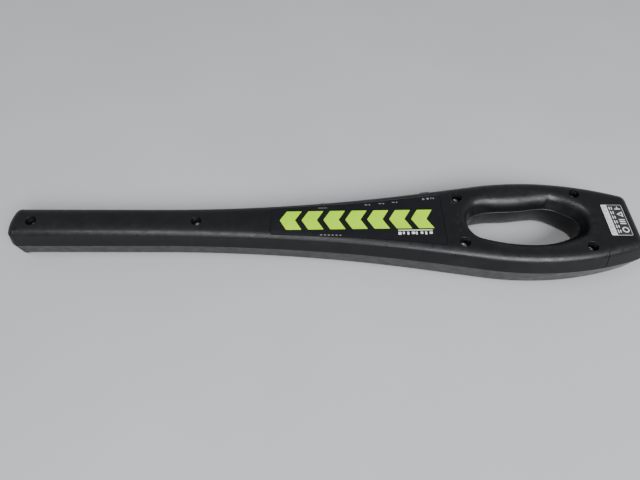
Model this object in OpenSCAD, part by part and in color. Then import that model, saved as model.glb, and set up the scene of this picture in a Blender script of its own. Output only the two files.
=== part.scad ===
// Hand-held security metal detector wand, lying on its flat front face.
// +X runs from the paddle tip to the base of the handle, +Z is up, out of the rear face.
// The origin is under the middle of the wand, on the surface that it lies on. Millimetres.

/* [Overall] */
// Length from the paddle tip to the base
wand_len = 488; // [484:1:590]
// Thickness of the paddle
paddle_t = 30.4; // [28:0.1:38]
// Thickness of the handle
handle_t = 34.2; // [32:0.1:42]
// Half width of the paddle at the parting line
paddle_hw = 15.2; // [14:0.1:19]
// Radius of the rounded end of the tip, in plan
tip_end_r = 40; // [24:1:60]
// Radius of the tip's two corners, in plan
tip_r = 6.5; // [5:0.5:10]
// Radius of the two base corners, in plan
base_r = 10; // [10:0.5:12]

/* [Plan outline] */
// Distance from the base to the point where the throat starts to flare
flare_from_base = 373; // [350:1:390]
// Radius of the hollow curve of the throat
flare_r = 1309; // [1100:10:1600]
// Angle that the throat reaches
flare_deg = 9; // [7:0.1:10]
// Distance from the base to the point where the handle starts to round
grip_from_base = 122.2; // [118:0.1:130]
// Radius of the sides of the handle
grip_r = 243; // [220:1:300]

/* [Section] */
// Wall thickness of the two shells
wall = 1.8; // [1.4:0.1:2.4]
// Height of the parting line at the paddle
part_z_paddle = 18.2; // [15:0.1:20]
// Height of the parting line at the handle
part_z_handle = 22.3; // [20:0.1:26]
// Lean of the rear shell's side wall from the vertical, paddle and handle, in degrees
wall_deg = [16, 27];
// Radius of the edge between the side wall and the shoulder, paddle and handle
crest_r = [0.8, 6.5];
// Radius of the shoulder up to the rear face, paddle and handle
shoulder_r = [11.3, 9.5];
// Slope of the shoulder where it meets that edge
shoulder_deg = 35; // [25:1:45]
// Crown of the rear face, paddle and handle
crown = [0.5, 0.45];
// Lean of the front shell's side wall, paddle and handle
front_lean = [3.2, 4.0];
// Radius of the front face's edge
front_edge_r = 5; // [3:0.1:5.5]
// Chamfer of each shell along the parting line
part_chamfer = 0.35; // [0.2:0.05:0.6]

/* [Finger opening] */
// Distance of the opening's centre from the base
hole_from_base = 85.5; // [85:0.5:90]
// Half width of the opening at the parting line
hole_hw = 17.3; // [15:0.1:18]
// Radius of the opening's long sides, in front of its middle and behind it
hole_side_r = [126, 86];
// Radius of the opening's front end and of its back end
hole_end_r = [12, 9.5];
// How far the opening's wall leans outwards up to the rear face, at its ends and at its sides
hole_lean = [3.2, 6.0];
// Rounding of the opening's edge at the rear face
hole_edge_r = 5; // [3:0.1:6]
// Rounding of that edge in the scoop on the far side
scoop_r = 9; // [5:0.5:10]
// How far the opening flares at the front face, at its ends and at its sides
hole_flare_front = [5.4, 6.2];
// Depth of the finger groove in the far wall of the opening
finger_groove = 3; // [0:0.1:4]
// Height of the ridge in front of the finger groove
finger_ridge = 2.2; // [0:0.1:3]

/* [Case screws] */
// Distances of the tip screw and the paddle screw from the tip
paddle_screws = [18.5, 145.5];
// Pair in front of the opening: distance from the base, and from the centre line
front_pair = [139, 20.9];
// Pair behind the opening: distance from the base, and from the centre line
rear_pair = [45, 24.7];
// Diameter of the screw wells in the rear face
well_d = 7.8; // [7:0.1:9.4]
// Diameter of the screw shank
screw_d = 2.9; // [2.5:0.1:3.2]
// Diameter of the pan head
screw_head_d = 5.6; // [5:0.1:6.4]
// Length of the shank under the head
screw_len = 12; // [9:0.5:13]

/* [Label and sticker] */
// Distances of the label's two ends from the base
label_ends = [285, 152.5];
// Distance of the label's long edges from the outline, at the paddle and at the handle
label_inset = [5.3, 10.7];
// Depth of the recess that holds the label
label_recess = 0.6; // [0.4:0.05:1]
// Thickness of the label
label_t = 0.45; // [0.3:0.05:0.6]
// Distance of the rating sticker's near edge from the base
sticker_from_base = 28; // [27:0.5:29]
// Size of the rating sticker along X and along Y
sticker_size = [16, 28.5];

/* [Controls on the side] */
// Height of the controls in the side wall
side_z = 24.7; // [24:0.1:25.5]
// Distances of the three indicator lenses from the base
lens_from_base = [210, 199, 188.5];
// Diameter of an indicator lens
lens_d = 3.4; // [3:0.1:4]
// Distance of the push button from the base
button_from_base = 245; // [240:0.5:250]
// Diameter of the push button
button_d = 5.6; // [4.6:0.1:6]
// Travel of the push button
button_travel = 0.6; // [0.4:0.05:0.8]
// Distance of the mode switch from the base
mode_from_base = 162; // [160:0.5:165]
// Step between the three positions of the mode switch
mode_step = 3.4; // [2.5:0.1:3.6]
// Length and height of the mode switch's knob
knob_size = [7, 4.4];

/* [Power] */
// Size of the block battery along X, Y and Z, without its two studs
battery_size = [25.5, 45.5, 16.5];
// Height of the battery above the inside of the front shell's floor
battery_up = 2.3; // [2:0.1:2.8]
// Distance of the battery door's seam from the base
door_from_base = 34; // [32:0.5:36]

/* [Sensing and sound] */
// Distances of the coil's ends: the first from the tip, the second from the base
coil_ends = [25, 319];
// Half width of the transmit coil's centre line
coil_hw = 8; // [7:0.1:8.6]
// Width and height of the coil winding
winding = [2.6, 5];
// Height of the circuit board's underside
board_z = 13; // [12:0.1:14]
// Thickness of the circuit board
board_t = 1.6; // [1.2:0.1:2]
// Diameter of the loudspeaker
speaker_d = 28; // [23:0.5:29]
// Distance of the loudspeaker from the base
speaker_from_base = 175; // [171:0.5:182]

/* [Clearances] */
// Gap between the battery door and the front shell
door_gap = 0.3; // [0.2:0.05:0.5]
// Running gap round the push button and the mode knob
run_gap = 0.15; // [0.1:0.05:0.3]
// Gap between a fixed piece and the wall beside it
seat_gap = 0.3; // [0.2:0.05:0.6]

/* [Hidden] */
$fn = 48;
eps = 0.01;

half_len = wand_len/2;
function from_base(d) = half_len - d;
function from_tip(d) = d - half_len;
flare_start = from_base(flare_from_base);
grip_start = from_base(grip_from_base);
hole_x = from_base(hole_from_base);
sticker_x = from_base(sticker_from_base);
lens_x = [for (d = lens_from_base) from_base(d)];
button_x = from_base(button_from_base);
mode_x = from_base(mode_from_base);
door_x = from_base(door_from_base);
speaker_x = from_base(speaker_from_base);
label_x = [for (d = label_ends) from_base(d)];
blend = [from_base(341), from_base(107)];  // the paddle's section turns into the handle's here
arc_steps = 10;
J = 6;                       // strips across the crowned rear face

// ---- rules that every piece follows ----
function ease(x) = let(t = min(1, max(0, (x - blend[0])/(blend[1] - blend[0])))) t*t*(3 - 2*t);
function mix(v, x) = v[0] + (v[1] - v[0])*ease(x);
function thick(x) = mix([paddle_t, handle_t], x);
function part_z(x) = mix([part_z_paddle, part_z_handle], x);

// both leans fade towards the very end of the tip
function tipped(x, share) = 1 - share*min(1, max(0, (8 - half_len - x)/8));
function wall_a(x) = mix(wall_deg, x)*tipped(x, 0.35);
function front_in(x) = mix(front_lean, x)*tipped(x, 0.9);

// key points of the plan outline
flare_x = flare_start + flare_r*sin(flare_deg);
flare_y = paddle_hw + flare_r*(1 - cos(flare_deg));
grip_y = flare_y + (grip_start - flare_x)*tan(flare_deg);
grip_c = [grip_start + grip_r*sin(flare_deg), grip_y - grip_r*cos(flare_deg)];
base_cx = half_len - base_r;
base_cy = grip_c[1] + sqrt(pow(grip_r - base_r, 2) - pow(base_cx - grip_c[0], 2));
base_deg = atan2(base_cy - grip_c[1], base_cx - grip_c[0]);

tip_dx = sqrt(pow(tip_end_r - tip_r, 2) - pow(paddle_hw - tip_r, 2));
tip_cx = -half_len + tip_end_r - tip_dx;
tip_deg = atan2(paddle_hw - tip_r, tip_dx);

// half width of the wand at the parting line
function half_w(x) =
  x < flare_start ? paddle_hw
  : x < flare_x ? paddle_hw + flare_r - sqrt(pow(flare_r, 2) - pow(x - flare_start, 2))
  : x < grip_start ? flare_y + (x - flare_x)*tan(flare_deg)
  : grip_c[1] + sqrt(pow(grip_r, 2) - pow(x - grip_c[0], 2));

// outline on the +Y side, each entry [x, y, normal x, normal y]
side = concat(
  [for (i = [0 : 3]) let(a = 179 - (tip_deg - 1)*i/4)
    [-half_len + tip_end_r*(1 + cos(a)), tip_end_r*sin(a), cos(a), sin(a)]],
  [for (i = [0 : 5]) let(a = 180 - tip_deg - (90 - tip_deg)*i/5)
    [tip_cx + tip_r*cos(a), paddle_hw - tip_r + tip_r*sin(a), cos(a), sin(a)]],
  [for (i = [1 : 3]) [tip_cx + (flare_start - tip_cx)*i/4, paddle_hw, 0, 1]],
  [for (i = [0 : arc_steps]) let(a = flare_deg*i/arc_steps)
    [flare_start + flare_r*sin(a), paddle_hw + flare_r*(1 - cos(a)), -sin(a), cos(a)]],
  [for (i = [1 : 3]) let(x = flare_x + (grip_start - flare_x)*i/3)
    [x, half_w(x), -sin(flare_deg), cos(flare_deg)]],
  [for (i = [1 : arc_steps]) let(a = 90 + flare_deg + (base_deg - 90 - flare_deg)*i/arc_steps)
    [grip_c[0] + grip_r*cos(a), grip_c[1] + grip_r*sin(a), cos(a), sin(a)]],
  [for (i = [1 : 6]) let(a = base_deg*(1 - i/6))
    [base_cx + base_r*cos(a), base_cy + base_r*sin(a), cos(a), sin(a)]]);
rows = len(side);

// one ring point: row i moved in by d, at height z
function ring_pt(i, d, z) = [side[i][0] - d*side[i][2], side[i][1] - d*side[i][3], z];
// a whole ring from a list of [inset, height], one for each row
function ring(spec) = concat(
  [for (i = [0 : rows - 1]) ring_pt(i, spec[i][0], spec[i][1])],
  [for (i = [rows - 1 : -1 : 0]) let(p = ring_pt(i, spec[i][0], spec[i][1])) [p[0], -p[1], p[2]]]);

// solid through stacked rings; its top is crowned by rise(i) over J strips, its bottom is a ladder
module stack(rings, rise) {
  n = 2*rows;
  top = rings[len(rings) - 1];
  base = len(rings)*n;
  mid = [for (i = [1 : rows - 2]) for (j = [1 : J - 1]) let(s = 1 - 2*j/J)
    [top[i][0], top[i][1]*s, top[i][2] + rise[i]*(1 - s*s)]];
  function at(i, j) = j == 0 ? base - n + i : j == J ? base - 1 - i
    : base + (i - 1)*(J - 1) + j - 1;
  pts = concat([for (r = rings) for (p = r) p], mid);
  walls = [for (k = [0 : len(rings) - 2]) for (j = [0 : n - 1]) let(q = (j + 1) % n, a = k*n)
    for (f = [[a + j, a + q, a + n + q], [a + j, a + n + q, a + n + j]]) f];
  floor_ = [for (i = [0 : rows - 2]) for (f = [[i, n - 1 - i, n - 2 - i], [i, n - 2 - i, i + 1]]) f];
  lid = [for (i = [1 : rows - 3]) for (j = [0 : J - 1])
    for (f = [[at(i, j), at(i + 1, j), at(i + 1, j + 1)], [at(i, j), at(i + 1, j + 1), at(i, j + 1)]]) f];
  tip_end = concat([for (j = [0 : J/2 - 1]) [base - n, at(1, j), at(1, j + 1)]],
    [[base - n, at(1, J/2), base - 1]],
    [for (j = [J/2 : J - 1]) [base - 1, at(1, j), at(1, j + 1)]]);
  e = rows - 1;
  base_end = concat([for (j = [0 : J/2 - 1]) [base - n + e, at(e - 1, j + 1), at(e - 1, j)]],
    [[base - n + e, base - 1 - e, at(e - 1, J/2)]],
    [for (j = [J/2 : J - 1]) [base - 1 - e, at(e - 1, j + 1), at(e - 1, j)]]);
  polyhedron(pts, concat(walls, floor_, lid, tip_end, base_end), convexity = 8);
}

function xs(i) = side[i][0];
flat = [for (i = [0 : rows - 1]) 0];
pillow = 30;                 // the crown rises over this length at each end
function rise_at(x) = mix(crown, x)*sin(90*min(1, (half_len - abs(x))/pillow));
rise = [for (i = [0 : rows - 1]) rise_at(xs(i))];
function edge_z(x) = thick(x) - mix(crown, x);          // height of the rear face at its edge
K = 90 - shoulder_deg;       // the edge turns from the wall to this angle, the shoulder on to 90
// where the wall ends and the edge starts to round, how far in that is, and where the face starts
function crest_z(x) = edge_z(x) - mix(shoulder_r, x)*(1 - sin(K))
  - mix(crest_r, x)*(sin(K) - sin(wall_a(x)));
function wall_in(x, z) = max(0, z - part_z(x))*tan(wall_a(x));
function face_in(x) = wall_in(x, crest_z(x)) + mix(shoulder_r, x)*cos(K)
  + mix(crest_r, x)*(cos(wall_a(x)) - cos(K));
// [inset, height] where the surface, moved in by t, has turned to angle a
function edge_pt(x, a, t) = let(rs = mix(shoulder_r, x) - t, rc = max(0.3, mix(crest_r, x) - t),
    z = edge_z(x) - t - rs*(1 - sin(max(a, K))) - rc*(sin(K) - sin(min(a, K))))
  [max(face_in(x) - rs*cos(max(a, K)) - rc*(cos(min(a, K)) - cos(K)), a > K ? 0 : t + wall_in(x, z)), z];

// rear half from the parting line up, moved in by t all over
module rear_form(t, low) {
  stack(concat(
    [ring([for (i = [0 : rows - 1]) [t > 0 ? t : part_chamfer, part_z(xs(i)) - low]])],
    [ring([for (i = [0 : rows - 1]) [t, part_z(xs(i)) + (t > 0 ? 0 : part_chamfer)]])],
    [for (k = [0 : 6]) ring([for (i = [0 : rows - 1]) let(w = wall_a(xs(i)))
      edge_pt(xs(i), k < 3 ? w + (K - w)*k/3 : K + (90 - K)*(k - 3)/3, t)])]), rise);
}

// front half from the flat front face up to the parting line, moved in by t all over
module front_form(t, high) {
  lean = 16;
  r = front_edge_r;
  stack(concat(
    [for (a = [90 : -(90 - lean)/4 : lean]) ring([for (i = [0 : rows - 1])
      [front_in(xs(i)) + t + r*(1 - cos(a)), t + r - r*sin(a)]])],
    [ring([for (i = [0 : rows - 1]) [t, part_z(xs(i)) - (t > 0 ? 0 : part_chamfer)]])],
    [ring([for (i = [0 : rows - 1]) [t > 0 ? t : part_chamfer, part_z(xs(i)) + high]])]), flat);
}

// ---- finger opening ----
// each half of the opening, front then rear: how far its end's centre is from the middle,
// and the direction in which its side meets its end
hole_dx = [for (k = [0, 1]) sqrt(pow(hole_side_r[k] - hole_end_r[k], 2)
  - pow(hole_side_r[k] - hole_hw, 2))];
hole_deg = [for (k = [0, 1]) atan2(hole_side_r[k] - hole_hw, hole_dx[k])];
hole_z = part_z(hole_x);
function turns(a, b, n) = [for (i = [0 : n - 1]) a + (b - a)*i/n];
hole_turns = concat(turns(-hole_deg[1], hole_deg[1], 11), turns(hole_deg[1], 90, 9),
  turns(90, 180 - hole_deg[0], 9), turns(180 - hole_deg[0], 180 + hole_deg[0], 12),
  turns(180 + hole_deg[0], 270, 9), turns(270, 360 - hole_deg[1], 9));
hole_n = len(hole_turns);
groove_x = 23;               // the groove's middle lies this far behind the opening's middle
ridge_x = -8;                // and the ridge's middle this far in front of it
function bell(x, c, w) = exp(-pow((x - c)/w, 2));
function hole_pt(a, out, z) = let(
    k = cos(a) > 0 ? 1 : 0,
    on_side = abs(sin(a)) > sin(hole_deg[k]) + eps/100,
    c = on_side ? [0, -sign(sin(a))*(hole_side_r[k] - hole_hw)] : [(2*k - 1)*hole_dx[k], 0],
    r = on_side ? hole_side_r[k] : hole_end_r[k],
    x = c[0] + r*cos(a),
    e = out + (finger_groove*bell(x, groove_x, 13) - finger_ridge*bell(x, ridge_x, 17))*max(0, sin(a)))
  [hole_x + c[0] + (r + e)*cos(a), c[1] + (r + e)*sin(a), z];
// flare taken in direction a, from its value at the ends and its value at the sides
function flare_in(v, a) = v[0] + (v[1] - v[0])*pow(sin(a), 2);
// share of the scoop in direction a: full over a stretch of the far side, with a quick end
function scoop(a) = let(x = hole_pt(a, 0, 0)[0] - hole_x,
    t = sin(a) > 0.3 ? min(1, max(0, (x + 34)/16))*min(1, max(0, (20 - x)/4)) : 0)
  t*t*(3 - 2*t);
function rim_r(a) = hole_edge_r + (scoop_r - hole_edge_r)*scoop(a);
function lean_in(a) = flare_in(hole_lean, a) + hole_edge_r - rim_r(a) + 0.6*scoop(a);
// the opening as a solid, wider by out: it flares to the rear, to the front, or both ways
flare_steps = 8;
module opening(out, rear, front) {
  z_edge = handle_t - 0.2;
  // one loop at each stop, from the front face up
  low = front ? concat([[for (a = hole_turns) hole_pt(a, out + flare_in(hole_flare_front, a), -2)]],
      [for (t = [90 : -90/flare_steps : 1]) [for (a = hole_turns)
        hole_pt(a, out + flare_in(hole_flare_front, a)*(1 - cos(t)), hole_z*(1 - sin(t)))]])
    : [[for (a = hole_turns) hole_pt(a, out, hole_z - 4)]];
  high = rear ? concat(
      [for (t = [0 : flare_steps]) let(u = 90*t/flare_steps) [for (a = hole_turns)
        let(r = rim_r(a), z = z_edge - r*(1 - sin(u)))
        hole_pt(a, out + lean_in(a)*(z - hole_z)/(z_edge - hole_z) + r*(1 - cos(u)), z)]],
      [[for (a = hole_turns) hole_pt(a, out + lean_in(a) + rim_r(a), handle_t + 2)]])
    : [[for (a = hole_turns) hole_pt(a, out, hole_z + 4)]];
  loops = concat(low, [[for (a = hole_turns) hole_pt(a, out, hole_z)]], high);
  steps = len(loops) - 1;
  pts = concat([for (l = loops) for (p = l) p],
    [[hole_x, 0, loops[0][0][2]], [hole_x, 0, loops[steps][0][2]]]);
  m = len(loops)*hole_n;
  faces = concat(
    [for (k = [0 : steps - 1]) for (j = [0 : hole_n - 1]) let(q = (j + 1) % hole_n, a = k*hole_n)
      for (f = [[a + j, a + hole_n + q, a + q], [a + j, a + hole_n + j, a + hole_n + q]]) f],
    [for (j = [0 : hole_n - 1]) [m, j, (j + 1) % hole_n]],
    [for (j = [0 : hole_n - 1]) [m + 1, m - hole_n + (j + 1) % hole_n, m - hole_n + j]]);
  polyhedron(pts, faces, convexity = 6);
}

// ---- places on the outer surface ----
// half width of the rear shell's wall at height z
function rear_w(x, z) = half_w(x) - wall_in(x, z);
// turn of the side wall in plan, and its lean from the vertical
function plan_deg(x) = x < flare_x ? asin((x - flare_start)/flare_r) : flare_deg;
function lean_deg(x) = wall_a(x);
// everything that stands out of the rear shell's side wall at x by more than out
module beyond_wall(x, out) translate([x, rear_w(x, side_z), side_z])
  rotate([0, 0, plan_deg(x)]) rotate([lean_deg(x), 0, 0]) translate([-12, out, -12]) cube(24);
// height of the rear face at x, y
function face_z(x, y) = let(w = half_w(x) - face_in(x), rs = mix(shoulder_r, x),
    over = min(rs, max(0, abs(y) - w)))
  edge_z(x) + rise_at(x)*(1 - pow(min(1, abs(y)/w), 2)) - rs + sqrt(rs*rs - over*over);
slope = flare_deg;           // the throat's side wall turns by this near the mode switch
screws = concat([for (d = paddle_screws) [from_tip(d), 0]],
  [for (p = [front_pair, rear_pair]) for (s = [1, -1]) [from_base(p[0]), s*p[1]]]);
well_floor = 4.2;            // what is left under a screw head
boss_d = 8.6;
pilot_gap = 0.04;
function head_z(x) = part_z(x) + well_floor;

// ---- shells ----
function mode_y() = rear_w(mode_x, side_z);
module at_mode() translate([mode_x, mode_y(), side_z]) rotate([0, 0, slope]) children();
button_y = rear_w(button_x, side_z);
function lens_y(x) = rear_w(x, side_z);

module rear_shell_mesh() resize([0, 0, 0]) difference() {
  rear_form(0, 0);
  difference() {
    rear_form(wall, 2);
    opening(wall, true, true);
  }
  opening(0, true, false);
  label_form(label_recess, 4, seat_gap);
}

module rear_shell() color("#1c1d1f") difference() {
  union() {
    difference() {
      rear_shell_mesh();
      // slot for the mode knob, and the bores of the button and the lenses
      at_mode() cube([knob_size[0] + 2*(mode_step + run_gap), 12, knob_size[1] + 2*run_gap],
        center = true);
      translate([button_x, button_y - 6, side_z]) rotate([-90, 0, 0])
        cylinder(d = button_d + 2*run_gap, h = 12);
      for (x = lens_x) translate([x, lens_y(x) - 6, side_z]) rotate([-90, 0, 0])
        cylinder(d = lens_d + 0.06, h = 12);
    }
    for (s = screws) translate([s[0], s[1], part_z(s[0]) + eps])
      cylinder(d = well_d + 2*1.2, h = edge_z(s[0]) - part_z(s[0]) - wall/2);
  }
  for (s = screws) translate([s[0], s[1], 0]) {
    translate([0, 0, head_z(s[0])]) cylinder(d = well_d, h = handle_t);
    cylinder(d = screw_d + 0.4, h = handle_t);
  }
}

module front_skin() resize([0, 0, 0]) difference() {
  front_form(0, 0);
  difference() {
    front_form(wall, 2);
    opening(wall, true, true);
  }
  opening(0, false, true);
}

post_x = [from_base(263), from_base(149)];
tongue = [5.5, 1.8, 5];      // a tongue of the battery door that runs inside the front shell
tongue_z = 12;
grille_pitch = 3.6;
module front_shell() color("#1a1b1d") difference() {
  union() {
    difference() {
      front_skin();
      translate([door_x - door_gap, -60, -1]) cube([60, 120, handle_t]);
      for (k = [-3 : 3]) translate([speaker_x + k*grille_pitch, 0, -1])
        linear_extrude(wall + 2) slot(sqrt(pow(11.5, 2) - pow(k*grille_pitch, 2)) + 0.5, 0.8);
    }
    for (s = screws) translate([s[0], s[1], wall/2])
      cylinder(d = boss_d, h = part_z(s[0]) - wall/2 - eps);
    // posts under the circuit board, clear of the loudspeaker
    for (x = post_x) for (s = [1, -1]) translate([x, s*(half_w(x) - 11), wall/2])
      cylinder(d = 5, h = board_z - wall/2);
    // rim that centres the loudspeaker
    translate([speaker_x, 0, wall/2]) difference() {
      cylinder(d = speaker_d + 2*seat_gap + 2.4, h = wall/2 + 3);
      translate([0, 0, -1]) cylinder(d = speaker_d + 2*seat_gap, h = 8);
    }
  }
  for (s = screws) translate([s[0], s[1], head_z(s[0]) - screw_len - 1])
    cylinder(d = screw_d + 2*pilot_gap, h = 40);
}

module slot(half, w) {
  square([w*2, 2*half], center = true);
  for (s = [1, -1]) translate([0, s*half]) circle(r = w);
}

module battery_door() color("#1a1b1d") union() {
  resize([0, 0, 0]) intersection() {
    front_skin();
    translate([door_x, -60, -1]) cube([60, 120, handle_t]);
  }
  // two tongues that slide inside the front shell's side walls
  for (s = [1, -1]) scale([1, s, 1]) hull() {
    translate([door_x + 3, tongue_y(door_x + 3) - tongue[1], tongue_z - tongue[2]/2])
      cube([2, tongue[1] + wall/2, tongue[2]]);
    translate([door_x - tongue[0], tongue_y(door_x - tongue[0]) - tongue[1], tongue_z - tongue[2]/2])
      cube([2, tongue[1] - 0.4, tongue[2]]);
  }
}
// inner face of the front shell's side wall beside a tongue, less its clearance
function tongue_y(x) = half_w(door_x + 5) - wall - seat_gap
  - front_in(x)*(part_z(x) - tongue_z + tongue[2]/2)/(part_z(x) - front_edge_r);

// ---- label, sticker, screws ----
function label_hw(x, grow) = half_w(x) - mix(label_inset, x) + grow;
label_steps = 12;
// slab that follows the crowned face between its ends, from depth down to up above it
module label_form(down, up, grow) {
  x0 = label_x[0] - grow;
  x1 = label_x[1] + grow;
  r = 2.4;                   // corner radius
  xr = concat([for (i = [0 : 3]) x0 + r*(1 - cos(30*i))],
    [for (i = [1 : label_steps - 1]) x0 + r + (x1 - x0 - 2*r)*i/label_steps],
    [for (i = [0 : 3]) x1 - r + r*sin(30*i)]);
  function yr(x) = let(d = min(x - x0, x1 - x))
    label_hw(x, grow) - (d < r ? r - sqrt(max(0, r*r - pow(r - d, 2))) : 0);
  n = len(xr);
  m = J + 1;
  function top_at(dz) = [for (x = xr) for (j = [0 : J]) let(y = yr(x)*(1 - 2*j/J))
    [x, y, face_z(x, y) + dz]];
  pts = concat(top_at(-down), top_at(up));
  t = n*m;
  faces = concat(
    [for (i = [0 : n - 2]) for (j = [0 : J - 1]) let(a = i*m + j)
      for (f = [[a, a + 1, a + m + 1], [a, a + m + 1, a + m],
                [t + a, t + a + m + 1, t + a + 1], [t + a, t + a + m, t + a + m + 1]]) f],
    [for (i = [0 : n - 2]) let(a = i*m, b = i*m + J)
      for (f = [[a, a + m, t + a + m], [a, t + a + m, t + a],
                [b, t + b + m, b + m], [b, t + b, t + b + m]]) f],
    [for (j = [0 : J - 1]) let(a = j, b = (n - 1)*m + j)
      for (f = [[a, t + a + 1, a + 1], [a, t + a, t + a + 1],
                [b, b + 1, t + b + 1], [b, t + b + 1, t + b]]) f]);
  polyhedron(pts, faces, convexity = 4);
}

module label_panel() color("#2b2d31")
  label_form(label_recess - 0.05, -(label_recess - 0.05 - label_t), 0);

module rating_sticker() color("#d8d9da")
  translate([sticker_x, -sticker_size[1]/2 - 1, edge_z(sticker_x) + mix(crown, sticker_x) + 0.05])
    cube([sticker_size[0], sticker_size[1], 0.15]);

module case_screws() color("silver") for (s = screws)
  translate([s[0], s[1], head_z(s[0])]) difference() {
    union() {
      translate([0, 0, 0.02]) cylinder(d = screw_head_d, h = 1.6);
      translate([0, 0, 1.6]) cylinder(d1 = screw_head_d, d2 = screw_head_d - 1.6, h = 0.6);
      translate([0, 0, -screw_len]) cylinder(d = screw_d, h = screw_len + 1);
      translate([0, 0, -screw_len - 0.8]) cylinder(d1 = 1.2, d2 = screw_d, h = 0.8);
    }
    for (a = [0, 90]) rotate([0, 0, a]) translate([0, 0, 1.9]) cube([3.4, 0.8, 1.8], center = true);
  }

// ---- mode switch ----
knob_out = 1.4;              // the knob stands out of the side wall by this
flange_t = 1;
module mode_knob() color("#101113") difference() {
  at_mode() {
    translate([-knob_size[0]/2, -wall - 2 - eps, -knob_size[1]/2])
      cube([knob_size[0], wall + 2 + knob_out + 3, knob_size[1]]);
    translate([-knob_size[0]/2 - 1.5, -wall - 2 - flange_t, -knob_size[1]/2 - 0.8])
      cube([knob_size[0] + 3, flange_t, knob_size[1] + 1.6]);
  }
  beyond_wall(mode_x, knob_out);
  // ribs for the thumb, and the socket that takes the switch's lever
  at_mode() rotate([lean_deg(mode_x), 0, 0]) for (x = [-2.4 : 1.2 : 2.4])
    translate([x, knob_out, 0]) cube([0.5, 0.9, 12], center = true);
  at_mode() translate([-1.05, -wall - 4, -0.85]) cube([2.1, 3.2, 1.7]);
}
lever_len = 3.6;
body_y = -wall - 2 - flange_t - 0.4;       // front of the mode switch's housing
module mode_lever() color("#e6e2d8") at_mode()
  translate([-1, body_y - 1.6, -0.8]) cube([2, lever_len, 1.6]);
mode_body = [17, 6, 7.6];
module mode_switch_body() color("#b9bcbf") at_mode() difference() {
  translate([-mode_body[0]/2, body_y - mode_body[1], -mode_body[2]/2]) cube(mode_body);
  translate([-1 - mode_step - 0.2, body_y - 2, -0.95]) cube([2 + 2*mode_step + 0.4, 3, 1.9]);
}

// ---- push button ----
button_out = button_travel + 0.1;
button_in = wall + 2.1;      // from the wall's surface to the button's flange
module push_button() color("#26282b") difference() {
  translate([button_x, button_y, side_z]) rotate([-90, 0, 0]) {
    translate([0, 0, -button_in - 0.5]) cylinder(d = button_d, h = button_in + 4);
    translate([0, 0, -button_in - 1]) cylinder(d = button_d + 0.9, h = 1);
  }
  beyond_wall(button_x, button_out);
}
plunger_d = 2.6;
plunger_len = 1.6;
switch_y = button_y - button_in - 1 - 0.05;   // where the plunger meets the button
module button_plunger() color("#d9b36a") translate([button_x, switch_y, side_z]) rotate([90, 0, 0])
  cylinder(d = plunger_d, h = plunger_len);
module button_switch_body() color("#3a3d41") translate([button_x, switch_y - 0.9, side_z])
  difference() {
    translate([-3.1, -3.6, -3.1]) cube([6.2, 3.6, 6.2]);
    rotate([90, 0, 0]) translate([0, 0, -1])
      cylinder(d = plunger_d + 0.1, h = 1 + plunger_len - 0.9 + button_travel + 0.3);
  }

// ---- indicators ----
lens_in = 4.2;
lens_out = 0.25;
module lens(x, c) color(c) difference() {
  translate([x, lens_y(x), side_z]) rotate([90, 0, 0]) {
    translate([0, 0, -3]) cylinder(d = lens_d, h = lens_in + 3);
    translate([0, 0, wall + 1.5]) cylinder(d = lens_d + 1, h = lens_in - wall - 1.2);
  }
  beyond_wall(x, lens_out);
}
module lens_green() lens(lens_x[0], "#35c24a");
module lens_amber() lens(lens_x[1], "#f0a51c");
module lens_red() lens(lens_x[2], "#d0262a");
led_d = 3;
module indicator_leds() color("#e9edf0") for (x = lens_x)
  translate([x, lens_y(x) - lens_in - 0.5, side_z]) {
    rotate([90, 0, 0]) cylinder(d = led_d, h = 4.4);
    for (s = [-1, 1]) translate([s*1.27 - 0.25, -4.4, board_z + board_t - side_z - 0.5])
      cube([0.5, 0.5, side_z - board_z - board_t + 1]);
  }

// ---- circuit board ----
board_x = [from_base(271), from_base(145)];
board_in = wall + 2.5 + seat_gap;   // from the outline at the parting line to the board's edge
board_steps = 10;
module main_board() color("#1f5d35") difference() {
  translate([0, 0, board_z]) linear_extrude(board_t) difference() {
    polygon(concat(
      [for (i = [0 : board_steps]) let(x = board_x[0] + (board_x[1] - board_x[0])*i/board_steps)
        [x, half_w(x) - board_in]],
      [for (i = [board_steps : -1 : 0]) let(x = board_x[0] + (board_x[1] - board_x[0])*i/board_steps)
        [x, -half_w(x) + board_in]]));
    for (s = [1, -1]) translate([from_base(front_pair[0]), s*front_pair[1]])
      circle(d = boss_d + 4*seat_gap + 6);
  }
  for (x = lens_x) for (s = [-1, 1])
    translate([x + s*1.27 - 0.3, lens_y(x) - lens_in - 0.5 - 4.45, board_z - 1]) cube([0.6, 0.6, 9]);
}
board_top = board_z + board_t + 0.02;
module chip(x, y, w, d, h) translate([x - w/2, y - d/2, board_top]) cube([w, d, h]);
module board_chips() color("#15171a") translate([board_x[0], 0, 0]) {
  chip(48, -6, 12, 12, 1.4);
  chip(70, -11, 8, 5, 1.5);
  chip(86, 8, 8, 5, 1.5);
  chip(30, 2, 6, 5, 1.5);
  chip(14, -4, 5, 4, 1.2);
}
module board_capacitors() color("#2a3f7a")
  for (p = [[98, -14, 6.3, 7.5], [106, -14, 6.3, 7.5], [112, 0, 8, 9], [62, 6, 5, 6], [22, -9, 5, 6]])
    translate([board_x[0] + p[0], p[1], board_top]) difference() {
      cylinder(d = p[2], h = p[3]);
      translate([0, 0, 1.2]) difference() {
        cylinder(d = p[2] + 1, h = 0.6);
        translate([0, 0, -1]) cylinder(d = p[2] - 0.6, h = 3);
      }
    }
module coil_plug() color("#efece2") translate([board_x[0] + 4, 0, board_top]) {
  translate([-3, -5, 0]) cube([6, 10, 1.4]);
  difference() {
    translate([-3, -5, 1.4]) cube([6, 10, 4.4]);
    for (y = [-3, 0, 3]) translate([-4, y - 0.8, 3]) cube([4, 1.6, 1.6]);
  }
}

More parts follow.
